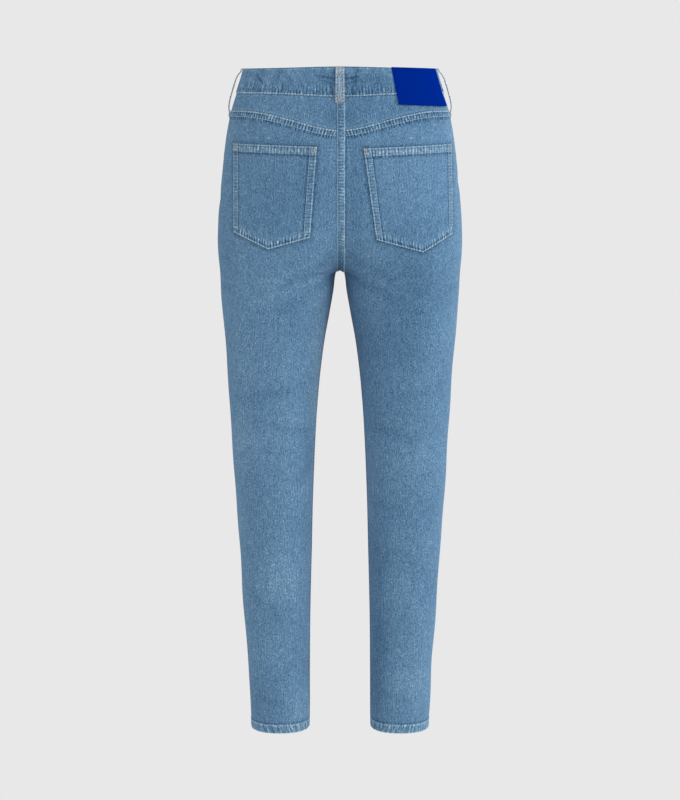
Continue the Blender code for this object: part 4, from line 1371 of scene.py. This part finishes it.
# The strap's course: the share of its drop and the share of its slack there.
COURSE = (
    (0.00, 0.00),
    (0.06, 0.12),
    (0.14, 0.70),
    (0.22, 1.00),
    (0.45, 1.00),
    (0.65, 0.92),
    (0.83, 0.60),
)
LOOP_SHADES = ("3A5670", "728DA7", "95ABBD", "B6C4CE", "C1CDD4", "D4DDE0")
loop_denim = denim("loop_denim", LOOP_SHADES)
half_across = [1.2, 2.4, 3.6, 4.4, 4.9, 5.4, 5.8, 6.0]
loop_across = np.array([-a for a in half_across[::-1]] + [0] + half_across) / 1000
for name, (side, turn, foot, slack) in LOOPS.items():
    head = float(edge("waist", turn))
    proud = BAND_OUTER + SEAM_GAP
    stations = [(head + (foot - head) * down, proud + slack * part) for down, part in COURSE]
    stations += [(foot + FOOT_SEWN, SEAM_GAP + 0.0008), (foot, SEAM_GAP)]
    given_heights, given_stand = np.array(stations).T
    near_head, near_foot = [0, 0.004, 0.010, 0.020], [0.98, 0.99, 0.996, 1.0]
    down = np.concatenate([near_head, np.linspace(0.03, 0.97, 56), near_foot])
    heights = head + (foot - head) * down
    stand = np.interp(-heights, -given_heights, given_stand)
    for _ in range(10):
        stand[1:-1] = (stand[:-2] + 2 * stand[1:-1] + stand[2:]) / 4
    stand = np.maximum(stand, np.interp(-heights, -given_heights, np.minimum(given_stand, proud)))
    normal = outward(heights, turn)
    middle = surface(heights, turn) + normal * stand[:, None]
    along = np.cross(normal, (0.0, 0.0, 1.0))
    along /= -np.linalg.norm(along, axis=-1, keepdims=True)
    wider = 1.02 + 0.08 * down[:, None, None]
    points = middle[:, None] + along[:, None] * loop_across[None, :, None] * wider
    normals = np.broadcast_to(normal[:, None], points.shape)
    run = run_along(middle)
    from_edge = LOOP_WIDTH / 2 - np.abs(loop_across)[None, :] + 0 * run[:, None]
    from_end = np.minimum(run, run[-1] - run)[:, None] + 0 * from_edge
    hollow = -0.0003 * np.exp(-(((from_edge - 0.0016) / 0.0005) ** 2))
    inner, outer = rounded(0.0, LOOP_THICK + hollow, from_edge, from_end)
    along_edge = run[:, None] + np.sign(loop_across)[None, :] * 0.7
    seam_map = np.stack([along_edge + 0 * from_edge, from_edge], -1)
    wear = 0.27 * np.exp(-((from_edge / 0.0009) ** 2))
    # a painted shadow just inside each stitch row
    wear = wear - 0.20 * np.exp(-(((from_edge - 0.0028) / 0.0008) ** 2))
    sideways = np.broadcast_to(loop_across, from_edge.shape) + 0.2 * turn
    cloth = np.stack([sideways, run[:, None] + 0 * from_edge], -1)
    loop, over, facing = shell(
        f"{name}_cloth", points, normals, inner, outer, side, cloth, seam_map, wear,
        0.7 * (1 - smooth(0.0016, 0.0030, from_edge)), (loop_denim, loop_denim),
    )
    rows = np.arange(3, len(run) - 2)
    lines = [(over[rows, column], facing[rows, column]) for column in (4, -5)]
    stitches = sew(f"{name}_stitches", lines, tan_thread)
    tack_rows = [int(np.abs(run - (run[-1] - 0.0022)).argmin()), 4]
    tack = sew(
        f"{name}_bartacks",
        [(over[row, 1:-1], facing[row, 1:-1]) for row in tack_rows],
        tan_thread, TACK_PITCH, TACK_SIZE, TACK_LIFT,
    )
    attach(loop, "root")
    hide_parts(name)


# Patch: a plain woven patch in cobalt blue polyester satin, sewn over the waistband on the
# wearer's right and hanging over the yoke. Its edges are heat cut and its ribs are fine.
PATCH_TOP = ((0.0738, 0.0200), (0.1385, 0.0180))
PATCH_FOOT = ((0.0848, -0.0342), (0.1548, -0.0374))
PATCH_THICK = 0.0008
woven_patch, tree, shader = new_finish("cobalt_woven_satin")
cloth = add(tree, "ShaderNodeUVMap", uv_map="cloth").outputs[0]
ribs = add(
    tree,
    "ShaderNodeTexWave",
    {"Vector": cloth, "Scale": 0.314 / 0.0009, "Distortion": 0.3},
    wave_type="BANDS",
    bands_direction="Y",
).outputs["Fac"]
dye = add(tree, "ShaderNodeTexNoise", {"Vector": cloth, "Scale": 160.0, "Detail": 2.0}).outputs[0]
mixed = add(tree, "ShaderNodeMath", {0: ribs, 1: 0.4, 2: dye}, operation="MULTIPLY_ADD").outputs[0]
ramp = add(tree, "ShaderNodeValToRGB", {"Fac": mixed})
ramp.color_ramp.elements[0].position, ramp.color_ramp.elements[0].color = 0.2, colour("001F78")
ramp.color_ramp.elements[1].position, ramp.color_ramp.elements[1].color = 1.0, colour("002686")
tree.links.new(ramp.outputs["Color"], shader.inputs["Base Color"])
bump = add(tree, "ShaderNodeBump", {"Height": ribs, "Strength": 0.25, "Distance": 0.0003})
tree.links.new(bump.outputs[0], shader.inputs["Normal"])
shader.inputs["Roughness"].default_value = 0.8
shader.inputs["Specular IOR Level"].default_value = 0.0

patch_top, patch_foot = np.array(PATCH_TOP), np.array(PATCH_FOOT)
across = np.sin(np.linspace(0, math.pi / 2, 56))[None, :, None]
down = np.linspace(0, 1, 40)[:, None, None]
upper = patch_top[0] + (patch_top[1] - patch_top[0]) * across
lower = patch_foot[0] + (patch_foot[1] - patch_foot[0]) * across
flat = (upper + (lower - upper) * down)[:, ::-1]
heights = flat[..., 1]
turns = turn_at(flat[..., 0], heights)
points, normals = surface(heights, turns), outward(heights, turns)
arc = run_along(points)
from_side = np.minimum(arc, arc[:, -1:] - arc)
from_end = np.minimum(heights[:1] - heights, heights - heights[-1:])
near = BAND_OUTER + SEAM_GAP
free = smooth(0.0, 0.017, edge("band_seam", turns) - heights)
wave = 0.0004 * free * np.sin(arc / 0.0062 + 0.8) + 0.0006 * free
tucked = -0.0003 * np.exp(-(((heights - edge("band_seam", turns) - 0.001) / 0.0018) ** 2))
inner, outer = rounded(near + wave, near + PATCH_THICK + wave + tucked, from_side, from_end)
nothing = 0 * arc
patch, _, _ = shell(
    "patch_cloth", points, normals, inner, outer, -1, np.stack([arc, heights], -1),
    np.stack([arc, heights], -1), nothing, nothing, (woven_patch, woven_patch),
)
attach(patch, "root")
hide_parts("patch")


# Button: a shank button of aged nickel on the lapped end of the waistband, struck with a
# raised rim and a domed middle, in a buttonhole worked in ecru thread.
# The button's profile from its crown to its shank: the radius and the height off the band.
BUTTON_PROFILE = (
    (0.0000, 0.0031),
    (0.0020, 0.0030),
    (0.0040, 0.0027),
    (0.0051, 0.0025),
    (0.0056, 0.0026),
    (0.0062, 0.0034),
    (0.0068, 0.0038),
    (0.0076, 0.0037),
    (0.0082, 0.0033),
    (0.0085, 0.0027),
    (0.0084, 0.0021),
    (0.0080, 0.0018),
    (0.0060, 0.0016),
    (0.0034, 0.0014),
    (0.0030, 0.0008),
    (0.0030, 0.0000),
    (0.0000, 0.0000),
)
BUTTON_STEPS = 64
aged_nickel, tree, shader = new_finish("aged_nickel")
place = add(tree, "ShaderNodeTexCoord").outputs["Object"]
tarnish = add(tree, "ShaderNodeTexNoise", {"Vector": place, "Scale": 420.0, "Detail": 4.0}).outputs[0]
ramp = add(tree, "ShaderNodeValToRGB", {"Fac": tarnish})
ramp.color_ramp.elements[0].position, ramp.color_ramp.elements[0].color = 0.3, colour("6E6A63")
ramp.color_ramp.elements[1].position, ramp.color_ramp.elements[1].color = 0.7, colour("A5A29C")
tree.links.new(ramp.outputs["Color"], shader.inputs["Base Color"])
shader.inputs["Metallic"].default_value = 1.0
shader.inputs["Roughness"].default_value = 0.38

button_height = float(edge("waist", -1) + edge("band_seam", -1)) / 2
axis = outward(button_height, -1.0)
lift = math.sqrt(1 - LAP_OVER / LAP_FADE) * LAP_LIFT
seat = surface(button_height, -1.0) + axis * (BAND_OUTER + lift + SEAM_GAP)
cross = np.cross(axis, (0.0, 0.0, 1.0))
cross /= np.linalg.norm(cross)
upright = np.cross(cross, axis)
spin = np.arange(BUTTON_STEPS) * 2 * math.pi / BUTTON_STEPS
round_it = np.cos(spin)[:, None] * cross + np.sin(spin)[:, None] * upright
rings = [ring for ring in BUTTON_PROFILE if ring[0] > 0]
vertices = np.concatenate([seat + axis * h + round_it * r for r, h in rings])
vertices = np.concatenate([vertices, [seat + axis * BUTTON_PROFILE[0][1]], [seat]])
crown, heel = len(vertices) - 2, len(vertices) - 1
last = (len(rings) - 1) * BUTTON_STEPS
faces = []
for s in range(BUTTON_STEPS):
    n = (s + 1) % BUTTON_STEPS
    faces += [(crown, n, s), (heel, last + s, last + n)]
    for r in range(len(rings) - 1):
        a, b = r * BUTTON_STEPS, (r + 1) * BUTTON_STEPS
        faces.append((a + s, a + n, b + n, b + s))
mesh = bpy.data.meshes.new("button_metal")
mesh.from_pydata(vertices.tolist(), [], faces)
mesh.materials.append(aged_nickel)
mesh.shade_smooth()
mesh.set_sharp_from_angle(angle=math.radians(50))
button = bpy.data.objects.new("button_metal", mesh)
bpy.context.scene.collection.objects.link(button)
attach(button, "root")
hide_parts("button")

# The buttonhole, across the seat of the shank: how far it runs to each side.
BUTTONHOLE = (-0.0030, 0.0175)
outline = np.linspace(0, 2 * math.pi, 80)
hole_middle, hole_half = sum(BUTTONHOLE) / 2, (BUTTONHOLE[1] - BUTTONHOLE[0]) / 2
round_ends = np.sign(np.sin(outline)) * np.abs(np.sin(outline)) ** 0.4
hole_heights = button_height + 0.0013 * round_ends
hole_turns = -1 + (hole_middle + hole_half * np.cos(outline)) / turn_length
hole_points, hole_normals = on_band(hole_turns, hole_heights)
buttonhole = sew(
    "buttonhole_stitches",
    [(hole_points + hole_normals * BAND_OUTER, hole_normals)],
    ecru_thread, TACK_PITCH, TACK_SIZE, TACK_LIFT,
)


# Fly: the curved rows on the wearer's left are held by two bartacks in tan thread, one across
# the seam at their foot and one on the bend.
tack_heights = np.linspace(FLY_FOOT - 0.001, FLY_FOOT + 0.007, 12)
foot_tack = on_cloth(tack_heights, beside(tack_heights, 0.0105, -1, 0), 1, 0.0003)
bend_heights = np.full(12, FLY_FOOT + 0.013)
bend_turns = beside(bend_heights, np.linspace(0.029, 0.037, 12), -1, 0)
bend_tack = on_cloth(bend_heights, bend_turns, 1, 0.0003)
fly_tacks = sew(
    "fly_bartacks", [foot_tack, bend_tack], tan_thread, TACK_PITCH, (0.0008, 0.0024, 0.0009), TACK_LIFT
)
